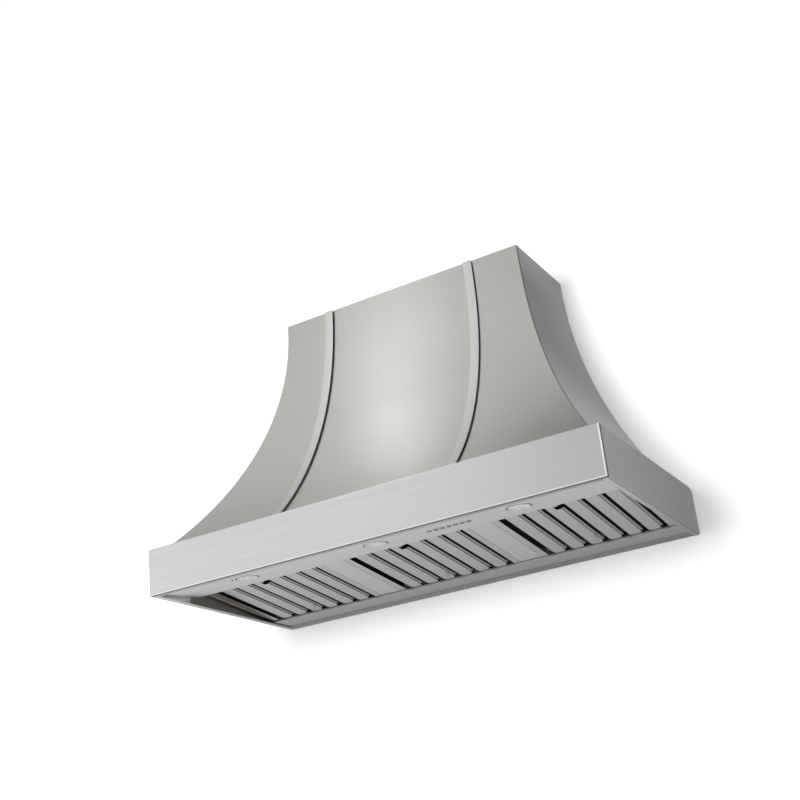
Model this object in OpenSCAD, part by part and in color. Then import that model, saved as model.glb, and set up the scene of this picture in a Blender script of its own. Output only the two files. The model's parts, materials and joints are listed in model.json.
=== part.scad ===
// Wall mount range hood with a bell-shaped canopy, two raised straps, a straight
// rim, lamps, push buttons and three baffle filters underneath.
// X runs along the wall, -Y points into the room, Z is up. The origin is on the
// wall, on the centre line, level with the bottom of the rim.

/* [Overall size] */
// Width of the rim along the wall
rim_w = 1220; // [1140:10:1400]
// Depth of the rim from the wall to its front face
rim_d = 610; // [580:5:680]
// Height of the rim's upright band
rim_h = 120; // [110:1:170]
// Height from the bottom of the rim to the top of the canopy
total_h = 780; // [740:5:1000]
// Width of the canopy at its top
top_w = 720; // [640:10:900]
// Depth of the canopy at its top
top_d = 286; // [276:2:340]
// Ledge of the rim that shows beside the foot of the canopy
side_ledge = 27; // [6:1:40]
// Ledge of the rim that shows in front of the foot of the canopy
front_ledge = 29; // [6:1:40]

/* [Sheet metal] */
// Thickness of the outer sheets
sheet = 1.2; // [0.8:0.1:2]
// Thickness of the filter sheets
thin = 0.8; // [0.5:0.1:1]
// Outside radius of the folds on the rim
fold_r = 3; // [2.5:0.1:3.6]
// Open seam between two outer sheets
seam = 1.4; // [0.3:0.1:2]
// Clearance between two pieces that are set against each other
gap = 0.3; // [0.2:0.05:0.5]

/* [Rim] */
// Width of the lip under the front of the rim
front_lip = 20; // [14:1:30]
// Width of the lip under each side of the rim
side_lip = 17; // [12:1:20]
// Width of the lip under the rear of the rim
rear_lip = 30; // [20:1:40]
// Height of the rear lip's upstand
rear_hem = 9; // [6:1:12]
// Width of the ledge hidden under the canopy, which carries its sheets
ledge_under = 14; // [8:1:25]
// How far the front sheet of the rim wraps round each end
wrap = 8; // [5:1:12]
// Rise of the cut corner at the rear top of each rim side
corner_rise = 12; // [6:1:20]
// Run of the cut corner at the rear top of each rim side
corner_run = 25; // [10:1:40]

/* [Straps] */
// Width of each strap
strap_w = 24; // [20:1:50]
// Height that each strap stands off the canopy
strap_t = 6; // [5:1:20]
// How far a strap's legs stand back from its edges, which leaves a shadow line
strap_leg_in = 5; // [3:0.5:6]
// Distance of each strap from the centre line at the top
strap_top_x = 217; // [150:1:280]
// Distance of each strap from the centre line at the foot
strap_foot_x = 241; // [150:1:400]

/* [Control panel] */
// Depth of the panel from the front lip to its rear edge
panel_depth = 140; // [110:1:150]
// Height of the panel's front edge above the bottom of the rim
panel_front_z = 4; // [4:0.5:8]
// Height of the panel's rear edge above the bottom of the rim
panel_rear_z = 18; // [14:1:24]
// Height of the panel's upturned rear wall
panel_wall_h = 48; // [44:1:56]
// Height of the inner cover over the lamps and switches
cover_h = 40; // [36:1:42]

/* [Lamps] */
// Number of lamps
lamp_count = 3; // [1:1:5]
// Spacing between the lamps
lamp_pitch = 370; // [260:5:400]
// Distance of the lamps behind the panel's front edge
lamp_in = 62; // [50:1:80]
// Radius of the lamp's bezel
bezel_r = 30; // [24:1:36]
// Width of the lamp's bezel ring
bezel_ring = 4.5; // [3:0.5:8]
// Height that the bezel stands off the panel
bezel_proud = 1.8; // [1:0.1:3]
// Depth of the lamp behind the panel
lamp_h = 16; // [10:1:24]

/* [Buttons] */
// Number of push buttons
button_count = 7; // [7:1:7]
// Spacing between the push buttons
button_pitch = 17; // [16:0.5:22]
// Distance of the middle button from the centre line
button_mid_x = 190; // [110:1:230]
// Distance of the buttons behind the panel's front edge
button_in = 70; // [60:1:80]
// Radius of a button's cap
button_r = 6; // [4.5:0.25:6.5]
// Height that a cap stands off the panel
button_proud = 1.6; // [1:0.1:3]
// Distance that a button travels when pressed
button_travel = 1.5; // [0.5:0.1:2]

/* [Filters] */
// Width of each baffle filter
filter_w = 352; // [340:1:360]
// Height of a filter's frame
filter_h = 24; // [20:1:30]
// Slope of the filters down towards the wall
filter_tilt = 6.2; // [4:0.1:6.5]
// Height of the filters' front edge above the bottom of the rim
filter_front_z = 43; // [41:1:50]
// Number of slots in each filter
slot_count = 7; // [5:2:7]
// Spacing between the slots
slot_pitch = 50; // [36:1:52]
// Width of each slot
slot_w = 18; // [16:1:22]
// Height of the lower strips' side walls
lower_wall_h = 11; // [8:0.5:12]
// Width of the stepped ledge along each edge of a lower strip
strip_ledge_w = 6.5; // [4:0.5:6.5]
// Height of a lower strip's ledges above its face
strip_ledge_z = 2.2; // [1.5:0.1:4]
// Height of the upper strips' faces above the lower faces
upper_z = 19; // [16:0.5:19]
// How far the upper strips reach past each side of a slot
upper_over = 6; // [4:0.5:8]
// Lower reach of the upper strips' side walls
upper_wall_z = 9; // [6:0.5:12]
// Width of the plain land at the front of each filter
filter_land = 20; // [12:1:30]
// Depth of the grease trough behind the filters
trough_d = 79; // [60:1:100]
// Gap between the filters and the walls in front of and behind them
filter_gap = 1.5; // [1:0.1:3]
// Gap between neighbours across the width of the filter bay
side_gap = 0.8; // [0.5:0.1:1]
// Margin between the rim's outer face and the filter bay
bay_margin = 21; // [19:1:30]
// Radius of the rounded rear corners of the strips
strip_end_r = 7; // [3:0.5:8]

/* [Filter pulls] */
// Width of a filter's pull tab
pull_w = 9; // [6:0.5:14]
// Distance that a pull tab hangs below its filter
pull_drop = 10; // [6:0.5:10]
// Distance of the pull tab from the filter's rear end
pull_back = 34; // [25:1:60]
// Size of the finger notch at the front of the middle slot
notch_size = 14; // [8:1:18]
// Distance of the finger notch from the filter's front end
notch_in = 40; // [30:1:60]

/* [Top and duct] */
// Depth of the top plate below the top of the canopy
top_recess = 14; // [12:1:30]
// Height of the flanges round the top plate
top_flange = 10; // [6:1:11]
// Outside radius of the duct collar
collar_r = 100; // [74:1:102]
// Height of the duct collar above the top plate
collar_h = 40; // [36:1:60]
// Width of the collar's foot flange
collar_foot = 11; // [10:0.5:12]
// Distance of the duct from the wall
duct_y = 130; // [126:1:150]
// Radius of the damper's pin
damper_pin_r = 2; // [1.5:0.1:3]
// Height of the damper's pin above the top plate
damper_z = 14; // [10:1:18]

/* [Blower] */
// Radius of the blower's wheel
wheel_r = 90; // [80:1:92]
// Half of the wheel's width
wheel_half = 88; // [60:1:92]
// Number of blades on the wheel
blade_count = 28; // [16:1:36]
// Radial width of the wheel's blades
blade_depth = 14; // [10:1:18]
// First radius of the scroll round the wheel
scroll_r = 106; // [104:1:108]
// Growth of the scroll at each quarter turn
scroll_step = 6; // [4:0.5:7]
// Half of the blower housing's width
housing_half = 103; // [103:1:120]
// Height of the square outlet box at the top of the blower
outlet_box_h = 60; // [40:1:80]
// Distance from the top plate down to the blower's axis
blower_drop = 250; // [220:1:270]
// Radius of the inlets in the housing's sides
inlet_r = 70; // [60:1:74]
// Radius of the motor
motor_r = 52; // [40:1:54]
// Radius of the motor's shaft
shaft_r = 6; // [4:0.5:8]

/* [Wall fixing] */
// Width of the pattern of wall screws
wall_pitch_x = 600; // [400:10:620]
// Height of the pattern of wall screws
wall_pitch_z = 400; // [300:10:440]
// Height of the upper wall screws below the top of the canopy
wall_hole_drop = 120; // [100:5:160]
// Radius of the holes for the wall screws
wall_hole_r = 4; // [2.5:0.1:6]
// Height of the stiffening rails behind the wall screws
rail_h = 50; // [36:1:70]
// Radius of the hole for the supply cable
cable_r = 11; // [8:0.5:14]
// Distance of the cable hole from the centre line
cable_x = 210; // [200:1:240]

/* [Hidden] */

steel = [0.72, 0.72, 0.70];
dark_steel = [0.45, 0.44, 0.42];
zinc = [0.66, 0.68, 0.70];
lens_white = [0.95, 0.95, 0.92];
board_green = [0.12, 0.35, 0.20];
motor_black = [0.12, 0.12, 0.13];

arc_fn = 360;
round_fn = 64;
small_fn = 32;
over = 1;
far = 2000;

// Bell shape: each face is an arc that starts upright at the top of the canopy.
foot_half = rim_w / 2 - side_ledge;
foot_d = rim_d - front_ledge;
bell_h = total_h - rim_h;
function bell_radius(run, rise) = (run * run + rise * rise) / (2 * run);
side_r = bell_radius(foot_half - top_w / 2, bell_h);
front_r = bell_radius(foot_d - top_d, bell_h);
side_arc_x = top_w / 2 + side_r;
front_arc_y = -(top_d + front_r);

// Rim and rear
inner_half = rim_w / 2 - sheet;
back_clear = sheet + gap;
rear_lip_half = rim_w / 2 - side_lip - seam;

// Control panel, as a line in side view from its front edge to its rear edge
panel_half = inner_half - gap;
panel_y0 = -(rim_d - front_lip);
panel_y1 = panel_y0 + panel_depth;
panel_tilt = atan2(panel_rear_z - panel_front_z, panel_depth);
panel_l = norm([panel_depth, panel_rear_z - panel_front_z]);
panel_front_wall = 12;
hole_gap = 0.5;
function lamp_x(i) = (i - (lamp_count - 1) / 2) * lamp_pitch;
function button_x(i) = button_mid_x + (i - (button_count - 1) / 2) * button_pitch;
panel_screw_x = lamp_x(0) - bezel_r - 6;
panel_screw_in = lamp_in - 14;

// Lamps, buttons and the switch board behind them, measured inwards from the panel's underside
can_wall = 1;
lens_t = 2.2;
button_flange_r = button_r + 1.5;
button_flange_h = 1;
button_top = 7;
stem_r = 2.5;
switch_w = 6;
switch_h = 4;
board_w = 34;
board_t = 1.6;
board_end = 12;
post_r = 3;

// Filter bay: the filters lie behind the panel's rear wall, which leans with them.
filter_rise = filter_front_z - panel_rear_z;
filter_y0 = panel_y1 + filter_rise * tan(filter_tilt) + filter_gap;
trough_y1 = -rear_lip - gap;
trough_y0 = trough_y1 - trough_d;
filter_y1 = trough_y0 - filter_gap;
filter_l = (filter_y1 - filter_y0 - filter_h * sin(filter_tilt)) / cos(filter_tilt);
bay_half = rim_w / 2 - bay_margin;
divider_w = (2 * bay_half - 3 * filter_w) / 2;
filter_x = bay_half - filter_w / 2;
divider_x = filter_w / 2 + divider_w / 2;
strip_w = slot_pitch - slot_w;
edge_strip_w = (filter_w - (slot_count - 1) * slot_pitch - slot_w) / 2;
top_lip_w = 8;
strip_gap = 0.2;

// Grease trough between the filters and the rear lip
trough_z = fold_r;
trough_front_h = 6;
trough_rear_h = 10;

// Top plate, duct and damper
plate_z = total_h - top_recess;
plate_low_z = plate_z - sheet;
collar_wall = 1;
collar_in_r = collar_r - collar_wall;
stop_w = 5;
stop_t = 1.5;
flap_t = 0.8;
flap_gap = 1;
flap_r = collar_in_r - flap_gap;
knuckle_r = damper_pin_r + 1.2;
pin_run = 0.05;
knuckle_l = 16;
knuckle_gap = 0.5;
knuckle_x = [15, 50];
damper_pin_z = plate_z + damper_z;
screw_r = 2;
screw_hole_r = 2.2;
screw_head_r = 3.6;
screw_head_h = 2;
collar_screw_count = 6;
collar_screw_pcr = collar_r + collar_foot - screw_head_r - gap;

// Blower: the scroll is three quarter arcs and a straight throat up to the outlet.
outlet_half_y = 102;
scroll_r3 = scroll_r + 2 * scroll_step;
throat_in = 14;
blower_z = plate_low_z - blower_drop;
throat_w = throat_in + scroll_step + scroll_r3;
blower_y = -duct_y - throat_w / 2 + throat_in;
axis_y = blower_y + scroll_step / 2;
axis_z = blower_z + scroll_step / 2;
outlet_flange = 12;
joint_gap = 0.1;
ring_w = 6;
blade_t = 1;
blade_in_r = wheel_r - blade_depth - 0.5;
disc_x = -19;
disc_t = 2;
hub_r = 14;
hub_x0 = -34;
hub_x1 = 6;
motor_x0 = -150;
motor_x1 = -40;
shaft_fit = 0.02;
shaft_seat = 24;
shaft_x0 = motor_x1 - shaft_seat;
shaft_x1 = hub_x1 + 4;
bracket_r = motor_r + 6;
bracket_t = 3;
arm_w = 12;
arm_land = 20;
arm_end_r = inlet_r + arm_land;
arm_foot = 12;

// Wall fixing
wall_hole_z1 = total_h - wall_hole_drop;
wall_hole_z0 = wall_hole_z1 - wall_pitch_z;
rail_end = 30;
rail_depth = 14;
box_w = 100;
box_h = 60;
box_d = 40;
cable_z = wall_hole_z1 - rail_h / 2 - box_h / 2 - 12;

// Extrusions of a shape drawn in side view (Y, Z) along X, and in front view (X, Z) along -Y
module along_x(x0, x1) {
  translate([x0, 0, 0]) rotate([90, 0, 90]) linear_extrude(x1 - x0) children();
}

module along_y(y0, y1) {
  translate([0, y1, 0]) rotate([90, 0, 0]) linear_extrude(y1 - y0) children();
}

// A block between two corners
module block(low, high) {
  translate(low) cube(high - low);
}

// A strip of sheet in side view from a to b, with its thickness on the left of that line
module strip_line(a, b, t) {
  translate(a) rotate(atan2(b[1] - a[1], b[0] - a[0])) square([norm(b - a), t]);
}

// A rectangle with round corners
module round_rect(w, h, r) {
  translate([r, 0]) square([w - 2 * r, h]);
  translate([0, r]) square([w, h - 2 * r]);
  for (x = [r, w - r], y = [r, h - r]) translate([x, y]) circle(r = r, $fn = round_fn);
}

// Canopy outline in front view, drawn in by inset from its two curved sides
module bell_front_view(inset, z0 = rim_h, z1 = total_h) {
  difference() {
    translate([-rim_w / 2, z0]) square([rim_w, z1 - z0]);
    for (side = [-1, 1])
      translate([side * side_arc_x, total_h]) circle(r = side_r + inset, $fn = arc_fn);
  }
}

// Canopy outline in side view, drawn in by inset from its curved front
module bell_side_view(inset, z0 = rim_h, z1 = total_h, rear_y = 0) {
  difference() {
    translate([-rim_d, z0]) square([rim_d + rear_y, z1 - z0]);
    translate([front_arc_y, total_h]) circle(r = front_r + inset, $fn = arc_fn);
  }
}

module canopy_front() {
  color(steel)
    intersection() {
      along_x(-rim_w / 2, rim_w / 2)
        difference() {
          bell_side_view(0);
          bell_side_view(sheet, rim_h - over, total_h + over, over);
        }
      along_y(-rim_d, 0) bell_front_view(0);
    }
}

module canopy_side(side) {
  color(steel)
    intersection() {
      along_y(-rim_d, 0)
        intersection() {
          difference() {
            bell_front_view(0);
            bell_front_view(sheet, rim_h - over, total_h + over);
          }
          translate([side > 0 ? 0 : -rim_w / 2, 0]) square([rim_w / 2, total_h]);
        }
      along_x(-rim_w / 2, rim_w / 2) bell_side_view(sheet + gap);
    }
}

module canopy_left() { canopy_side(-1); }

module canopy_right() { canopy_side(1); }

// Shallow pan that closes the top, with the duct opening through it
module canopy_top() {
  half = top_w / 2 - back_clear;
  front = -(top_d - back_clear);
  color(zinc)
    difference() {
      block([-half, front, plate_low_z], [half, -back_clear, plate_z + top_flange]);
      block([-half + sheet, front + sheet, plate_z], [half - sheet, -back_clear - sheet, total_h + over]);
      translate([0, -duct_y, plate_low_z - over]) cylinder(r = collar_in_r, h = sheet + 2 * over, $fn = arc_fn);
      at_collar_screws() translate([0, 0, plate_low_z - over])
        cylinder(r = screw_hole_r, h = sheet + 2 * over, $fn = small_fn);
    }
}

// Outline of a strap in front view, which splays a little towards its foot
module strap_front_view(side, inset) {
  half = strap_w / 2 - inset;
  polygon([
    [side * strap_foot_x - half, rim_h], [side * strap_foot_x + half, rim_h],
    [side * strap_top_x + half, total_h], [side * strap_top_x - half, total_h]
  ]);
}

// Band in side view that lies between two distances in front of the canopy
module strap_side_view(near, proud) {
  intersection() {
    difference() {
      translate([front_arc_y, total_h]) circle(r = front_r - near, $fn = arc_fn);
      translate([front_arc_y, total_h]) circle(r = front_r - proud, $fn = arc_fn);
    }
    translate([-rim_d - strap_t, rim_h]) square([rim_d, bell_h]);
  }
}

// Part of a strap between two distances in front of the canopy, drawn in by inset from its edges
module strap_layer(side, near, proud, inset) {
  intersection() {
    along_x(side * strap_foot_x - strap_w * 2, side * strap_foot_x + strap_w * 2)
      strap_side_view(near, proud);
    along_y(-rim_d - strap_t, 0) strap_front_view(side, inset);
  }
}

// A strap is a strip on a narrower channel, whose legs stand on the canopy
module strap(side) {
  color(steel) {
    strap_layer(side, strap_t - sheet, strap_t, 0);
    difference() {
      strap_layer(side, gap, strap_t - sheet / 2, strap_leg_in);
      intersection() {
        strap_layer(side, -over, strap_t - sheet, strap_leg_in + sheet);
        block([-rim_w, -rim_d - strap_t, rim_h - over], [rim_w, 0, total_h - sheet]);
      }
    }
  }
}

module strap_left() { strap(-1); }

module strap_right() { strap(1); }

// Solid block of the rim with folded edges, drawn in by inset and open at the wall
module rim_block(inset) {
  r = fold_r - inset;
  rear = inset > 0 ? over : 0;
  intersection() {
    along_x(-rim_w / 2 + inset, rim_w / 2 - inset)
      intersection() {
        translate([-rim_d + inset, inset]) round_rect(rim_d * 2, rim_h - 2 * inset, r);
        translate([-rim_d, 0]) square([rim_d + rear, rim_h]);
      }
    along_y(-rim_d, rear)
      translate([-rim_w / 2 + inset, inset]) round_rect(rim_w - 2 * inset, rim_h - 2 * inset, r);
    linear_extrude(rim_h)
      translate([-rim_w / 2 + inset, -rim_d + inset]) round_rect(rim_w - 2 * inset, rim_d * 2, r);
  }
}

// Folded shell of the rim: upright band, lips below and ledges above
module rim_shell() {
  ledge_side = side_ledge + ledge_under;
  ledge_front = front_ledge + ledge_under;
  difference() {
    rim_block(0);
    rim_block(sheet);
    block([-rim_w / 2 + side_lip, -rim_d + front_lip, -over], [rim_w / 2 - side_lip, over, rim_h / 2]);
    block([-rim_w / 2 + ledge_side, -rim_d + ledge_front, rim_h / 2],
          [rim_w / 2 - ledge_side, over, rim_h + over]);
    block([-inner_half, -back_clear, -over], [inner_half, over, rim_h + over]);
    for (side = [-1, 1])
      along_x(side * rim_w / 2 - fold_r, side * rim_w / 2 + fold_r)
        polygon([[-corner_run, rim_h + over], [over, rim_h + over], [over, rim_h - corner_rise],
                 [0, rim_h - corner_rise], [-corner_run, rim_h]]);
  }
}

// Space that belongs to the front sheet of the rim, grown by extra
module rim_front_space(extra) {
  mitre_half = rim_w / 2 - side_lip + extra;
  block([-rim_w, -rim_d - over, -over], [rim_w, -rim_d + wrap + extra, rim_h + over]);
  block([-mitre_half, -rim_d - over, -over],
        [mitre_half, -rim_d + max(front_lip, front_ledge + ledge_under) + extra, rim_h + over]);
}

module rim_front() {
  color(steel)
    intersection() {
      rim_shell();
      rim_front_space(0);
    }
}

module rim_side(side) {
  color(steel)
    difference() {
      intersection() {
        rim_shell();
        block([side > 0 ? 0 : -rim_w, -rim_d - over, -over], [side > 0 ? rim_w : 0, over, rim_h + over]);
      }
      rim_front_space(seam);
    }
}

module rim_left() { rim_side(-1); }

module rim_right() { rim_side(1); }

// Rear lip with an upstand that the trough is set against, and a leg up the wall
module rim_rear() {
  color(steel)
    along_x(-rear_lip_half, rear_lip_half) {
      translate([-rear_lip, 0]) square([rear_lip - back_clear, sheet]);
      translate([-rear_lip, 0]) square([sheet, rear_hem]);
      translate([-back_clear - sheet, 0]) square([sheet, rim_h / 2]);
    }
}

// Flat rear sheet, the face that lies on the wall
module back_panel() {
  color(zinc)
    along_y(-sheet, 0)
      difference() {
        union() {
          translate([-inner_half + gap, 0]) square([2 * (inner_half - gap), rim_h - corner_rise - gap]);
          difference() {
            bell_front_view(sheet + gap);
            translate([-rim_w, 0]) square([2 * rim_w, rim_h]);
          }
          translate([-foot_half + 2 * sheet + gap, rim_h / 2]) square([2 * (foot_half - 2 * sheet - gap), rim_h / 2]);
        }
        for (x = [-1, 1], z = [wall_hole_z0, wall_hole_z1])
          translate([x * wall_pitch_x / 2, z]) circle(r = wall_hole_r, $fn = round_fn);
        translate([cable_x, cable_z]) circle(r = cable_r, $fn = round_fn);
      }
}

// Channels that stiffen the rear sheet round each pair of wall screws
module mounting_rails() {
  half = wall_pitch_x / 2 + rail_end;
  color(zinc)
    for (z = [wall_hole_z0, wall_hole_z1])
      difference() {
        along_x(-half, half) {
          translate([-back_clear - sheet, z - rail_h / 2]) square([sheet, rail_h]);
          for (edge = [-rail_h / 2, rail_h / 2 - sheet])
            translate([-back_clear - rail_depth, z + edge]) square([rail_depth, sheet]);
        }
        for (x = [-1, 1])
          translate([x * wall_pitch_x / 2, 0, z]) rotate([90, 0, 0])
            cylinder(r = wall_hole_r, h = rail_depth, $fn = round_fn);
      }
}

// Places a child drawn on the panel's underside: X along the wall, Y from the front edge, Z inwards
module on_panel(x = 0, y = 0) {
  translate([0, panel_y0, panel_front_z]) rotate([panel_tilt, 0, 0]) translate([x, y, 0]) children();
}

// Sloping lamp and switch panel with an upturned front edge and rear wall
module control_panel() {
  front = [panel_y0, panel_front_z];
  rear = [panel_y1, panel_rear_z];
  rear_top = rear + panel_wall_h * [sin(filter_tilt), cos(filter_tilt)];
  color(steel)
    difference() {
      along_x(-panel_half, panel_half) {
        strip_line(front, rear, sheet);
        strip_line(rear, rear_top, sheet);
        translate(front) square([sheet, panel_front_wall]);
      }
      for (i = [0 : lamp_count - 1])
        on_panel(lamp_x(i), lamp_in) translate([0, 0, -over])
          cylinder(r = bezel_r - bezel_ring / 2 + hole_gap, h = sheet + 2 * over, $fn = round_fn);
      for (i = [0 : button_count - 1])
        on_panel(button_x(i), button_in) translate([0, 0, -over])
          cylinder(r = button_r + hole_gap, h = sheet + 2 * over, $fn = round_fn);
      on_panel(panel_screw_x, panel_screw_in) translate([0, 0, -over])
        cylinder(r = screw_hole_r, h = sheet + 2 * over, $fn = small_fn);
    }
}

// Cover over the back of the lamps and switches, a channel that stands on the panel
module control_cover() {
  half = panel_half - sheet - gap;
  front = panel_y0 + 2 * sheet + gap;
  low_z = panel_front_z + sheet + gap;
  rear = panel_y1 - 2 * sheet;
  color(zinc)
    along_x(-half, half)
      difference() {
        polygon([[front, low_z], [rear, panel_rear_z + sheet + gap],
                 [rear, panel_rear_z + cover_h], [front, panel_rear_z + cover_h]]);
        polygon([[front + sheet, low_z - over], [rear - sheet, panel_rear_z - over],
                 [rear - sheet, panel_rear_z + cover_h - sheet],
                 [front + sheet, panel_rear_z + cover_h - sheet]]);
      }
}

// Small board with a switch over each button, on four posts
module switch_board() {
  half = button_count * button_pitch / 2 + board_end;
  board_z = button_top + button_travel + gap + switch_h;
  post_x = half - post_r - 1;
  post_y = board_w / 2 - post_r - 1;
  color(board_green)
    on_panel(button_mid_x, button_in) {
      translate([0, 0, board_z]) block([-half, -board_w / 2, 0], [half, board_w / 2, board_t]);
      for (i = [0 : button_count - 1])
        translate([(i - (button_count - 1) / 2) * button_pitch, 0, board_z - switch_h])
          block([-switch_w / 2, -switch_w / 2, 0], [switch_w / 2, switch_w / 2, switch_h + over / 2]);
      for (x = [-1, 1], y = [-1, 1])
        translate([x * post_x, y * post_y, sheet]) cylinder(r = post_r, h = board_z - sheet, $fn = small_fn);
    }
}

// Push button: a cap through the panel, a flange behind it and a stem to its switch
module button(i) {
  dish_r = button_r * 4;
  dish = 0.4;
  color(steel)
    on_panel(button_x(i), button_in)
      rotate_extrude($fn = round_fn)
        difference() {
          union() {
            translate([0, -button_proud]) square([button_r, button_proud + sheet + gap + over / 2]);
            translate([0, sheet + gap]) square([button_flange_r, button_flange_h]);
            square([stem_r, button_top]);
          }
          translate([0, -button_proud - dish_r + dish]) circle(r = dish_r, $fn = arc_fn);
        }
}

module button_1() { button(0); }

module button_2() { button(1); }

module button_3() { button(2); }

module button_4() { button(3); }

module button_5() { button(4); }

module button_6() { button(5); }

module button_7() { button(6); }

// Lamp body: a bezel ring below the panel and a can behind it
module lamp_body(i) {
  ring_in = bezel_r - bezel_ring;
  can_r = bezel_r - bezel_ring / 2;
  color(steel)
    on_panel(lamp_x(i), lamp_in)
      rotate_extrude($fn = round_fn)
        polygon([
          [ring_in, -bezel_proud + 0.6], [ring_in + 0.6, -bezel_proud], [bezel_r - 1.2, -bezel_proud],
          [bezel_r, -bezel_proud + 1], [bezel_r, 0], [can_r, 0], [can_r, lamp_h], [0, lamp_h],
          [0, lamp_h - can_wall], [can_r - can_wall, lamp_h - can_wall],
          [can_r - can_wall, lens_t + gap], [ring_in, lens_t + gap]
        ]);
}

// Domed lens inside the bezel
module lamp_lens(i) {
  lens_r = bezel_r - bezel_ring - gap;
  dome_r = 180;
  dome_drop = 1;
  color(lens_white)
    on_panel(lamp_x(i), lamp_in)
      rotate_extrude($fn = round_fn)
        intersection() {
          translate([0, -dome_drop]) square([lens_r, lens_t + dome_drop]);
          translate([0, dome_r - dome_drop]) circle(r = dome_r, $fn = arc_fn);
        }
}

module lamp_left_body() { lamp_body(0); }

module lamp_middle_body() { lamp_body(1); }

module lamp_right_body() { lamp_body(2); }

module lamp_left_lens() { lamp_lens(0); }

module lamp_middle_lens() { lamp_lens(1); }

module lamp_right_lens() { lamp_lens(2); }

// Places a child drawn on the filters' underside: Y from the front end, Z upwards
module on_filter_plane(x = 0) {
  translate([x, filter_y0, filter_front_z]) rotate([-filter_tilt, 0, 0]) children();
}

// Plain cover between two filters, folded up at its sides
module divider(side) {
  half = divider_w / 2 - side_gap;
  color(steel)
    on_filter_plane(side * divider_x)
      difference() {
        block([-half, -filter_gap + gap, 0], [half, filter_l, filter_h]);
        block([-half + thin, -filter_gap, thin], [half - thin, filter_l + over, filter_h + over]);
      }
}

module divider_left() { divider(-1); }

module divider_right() { divider(1); }

// Folded strip that closes the bay beside the outer filters, from the lip up to the filter
module side_liner(side) {
  outer = inner_half - gap;
  inner = bay_half + side_gap;
  color(dark_steel)
    intersection() {
      mirror([side > 0 ? 0 : 1, 0, 0])
        on_filter_plane()
          along_y(-filter_gap + gap, filter_l) {
            translate([inner, 0]) square([outer - inner, thin]);
            translate([inner, 0]) square([thin, filter_h]);
            translate([outer - thin, -2 * filter_front_z]) square([thin, 2 * filter_front_z + thin]);
          }
      block([-rim_w, -rim_d, fold_r + gap], [rim_w, 0, rim_h]);
    }
}

module side_liner_left() { side_liner(-1); }

module side_liner_right() { side_liner(1); }

// Shallow tray behind the filters that catches the grease running down them
module grease_trough() {
  half = panel_half;
  color(steel)
    difference() {
      block([-half, trough_y0, trough_z], [half, trough_y1, trough_z + trough_rear_h]);
      block([-half + sheet, trough_y0 + sheet, trough_z + sheet],
            [half - sheet, trough_y1 - sheet, trough_z + trough_rear_h + over]);
      block([-half - over, trough_y0 - over, trough_z + trough_front_h],
            [half + over, trough_y0 + sheet + over, trough_z + trough_rear_h + over]);
    }
}

// Filter frame: walls on four sides, edge strips and a plain land at the front
module filter_frame(x) {
  half = filter_w / 2;
  color(steel)
    on_filter_plane(x) {
      difference() {
        block([-half, 0, 0], [half, filter_l, filter_h]);
        block([-half + thin, thin, thin], [half - thin, filter_l - thin, filter_h - thin]);
        block([-half + edge_strip_w, filter_land, -over], [half - edge_strip_w, filter_l + over, thin]);
        block([-half + top_lip_w, top_lip_w, filter_h - thin - over],
              [half - top_lip_w, filter_l - top_lip_w, filter_h + over]);
      }
    }
}

// Face of a lower strip seen from below, with rounded rear corners
module strip_face(w, l) {
  translate([-w / 2, 0]) square([w, l - strip_end_r]);
  translate([-w / 2 + strip_end_r, 0]) square([w - 2 * strip_end_r, l]);
  for (side = [-1, 1])
    translate([side * (w / 2 - strip_end_r), l - strip_end_r]) circle(r = strip_end_r, $fn = small_fn);
}

// Lower strips: channels open upwards, with a stepped ledge along each side of a slot
module filter_lower(x) {
  y0 = filter_land + strip_gap;
  wall_y1 = filter_l - strip_end_r - thin;
  notch_x = -slot_w / 2;
  ledge_x = strip_w / 2 + strip_ledge_w;
  color(steel)
    on_filter_plane(x)
      difference() {
        for (i = [0 : slot_count - 2])
          translate([(i - (slot_count - 2) / 2) * slot_pitch, y0, 0]) {
            linear_extrude(thin - strip_gap / 2) strip_face(strip_w, filter_l - y0);
            for (side = [-1, 1]) {
              translate([side * (strip_w - thin) / 2 - thin / 2, 0, 0])
                cube([thin, wall_y1 - y0, strip_ledge_z + thin]);
              translate([side * (strip_w + strip_ledge_w - thin) / 2 - (strip_ledge_w + thin) / 2, 0, strip_ledge_z])
                cube([strip_ledge_w + thin, wall_y1 - y0, thin]);
              translate([side * (ledge_x - thin / 2) - thin / 2, 0, strip_ledge_z])
                cube([thin, wall_y1 - y0, lower_wall_h - strip_ledge_z]);
            }
          }
        block([notch_x - notch_size, notch_in, -over],
              [notch_x + strip_ledge_w + over, notch_in + notch_size, lower_wall_h + over]);
      }
}

// Upper strips: channels open downwards, over the slots
module filter_upper(x) {
  half = slot_w / 2 + upper_over;
  color(dark_steel)
    on_filter_plane(x)
      for (i = [0 : slot_count - 1])
        translate([(i - (slot_count - 1) / 2) * slot_pitch, 0, 0])
          difference() {
            block([-half, thin + strip_gap, upper_wall_z], [half, filter_l - thin - strip_gap, upper_z + thin]);
            block([-half + thin, 0, upper_wall_z - over], [half - thin, filter_l, upper_z]);
          }
}

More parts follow.
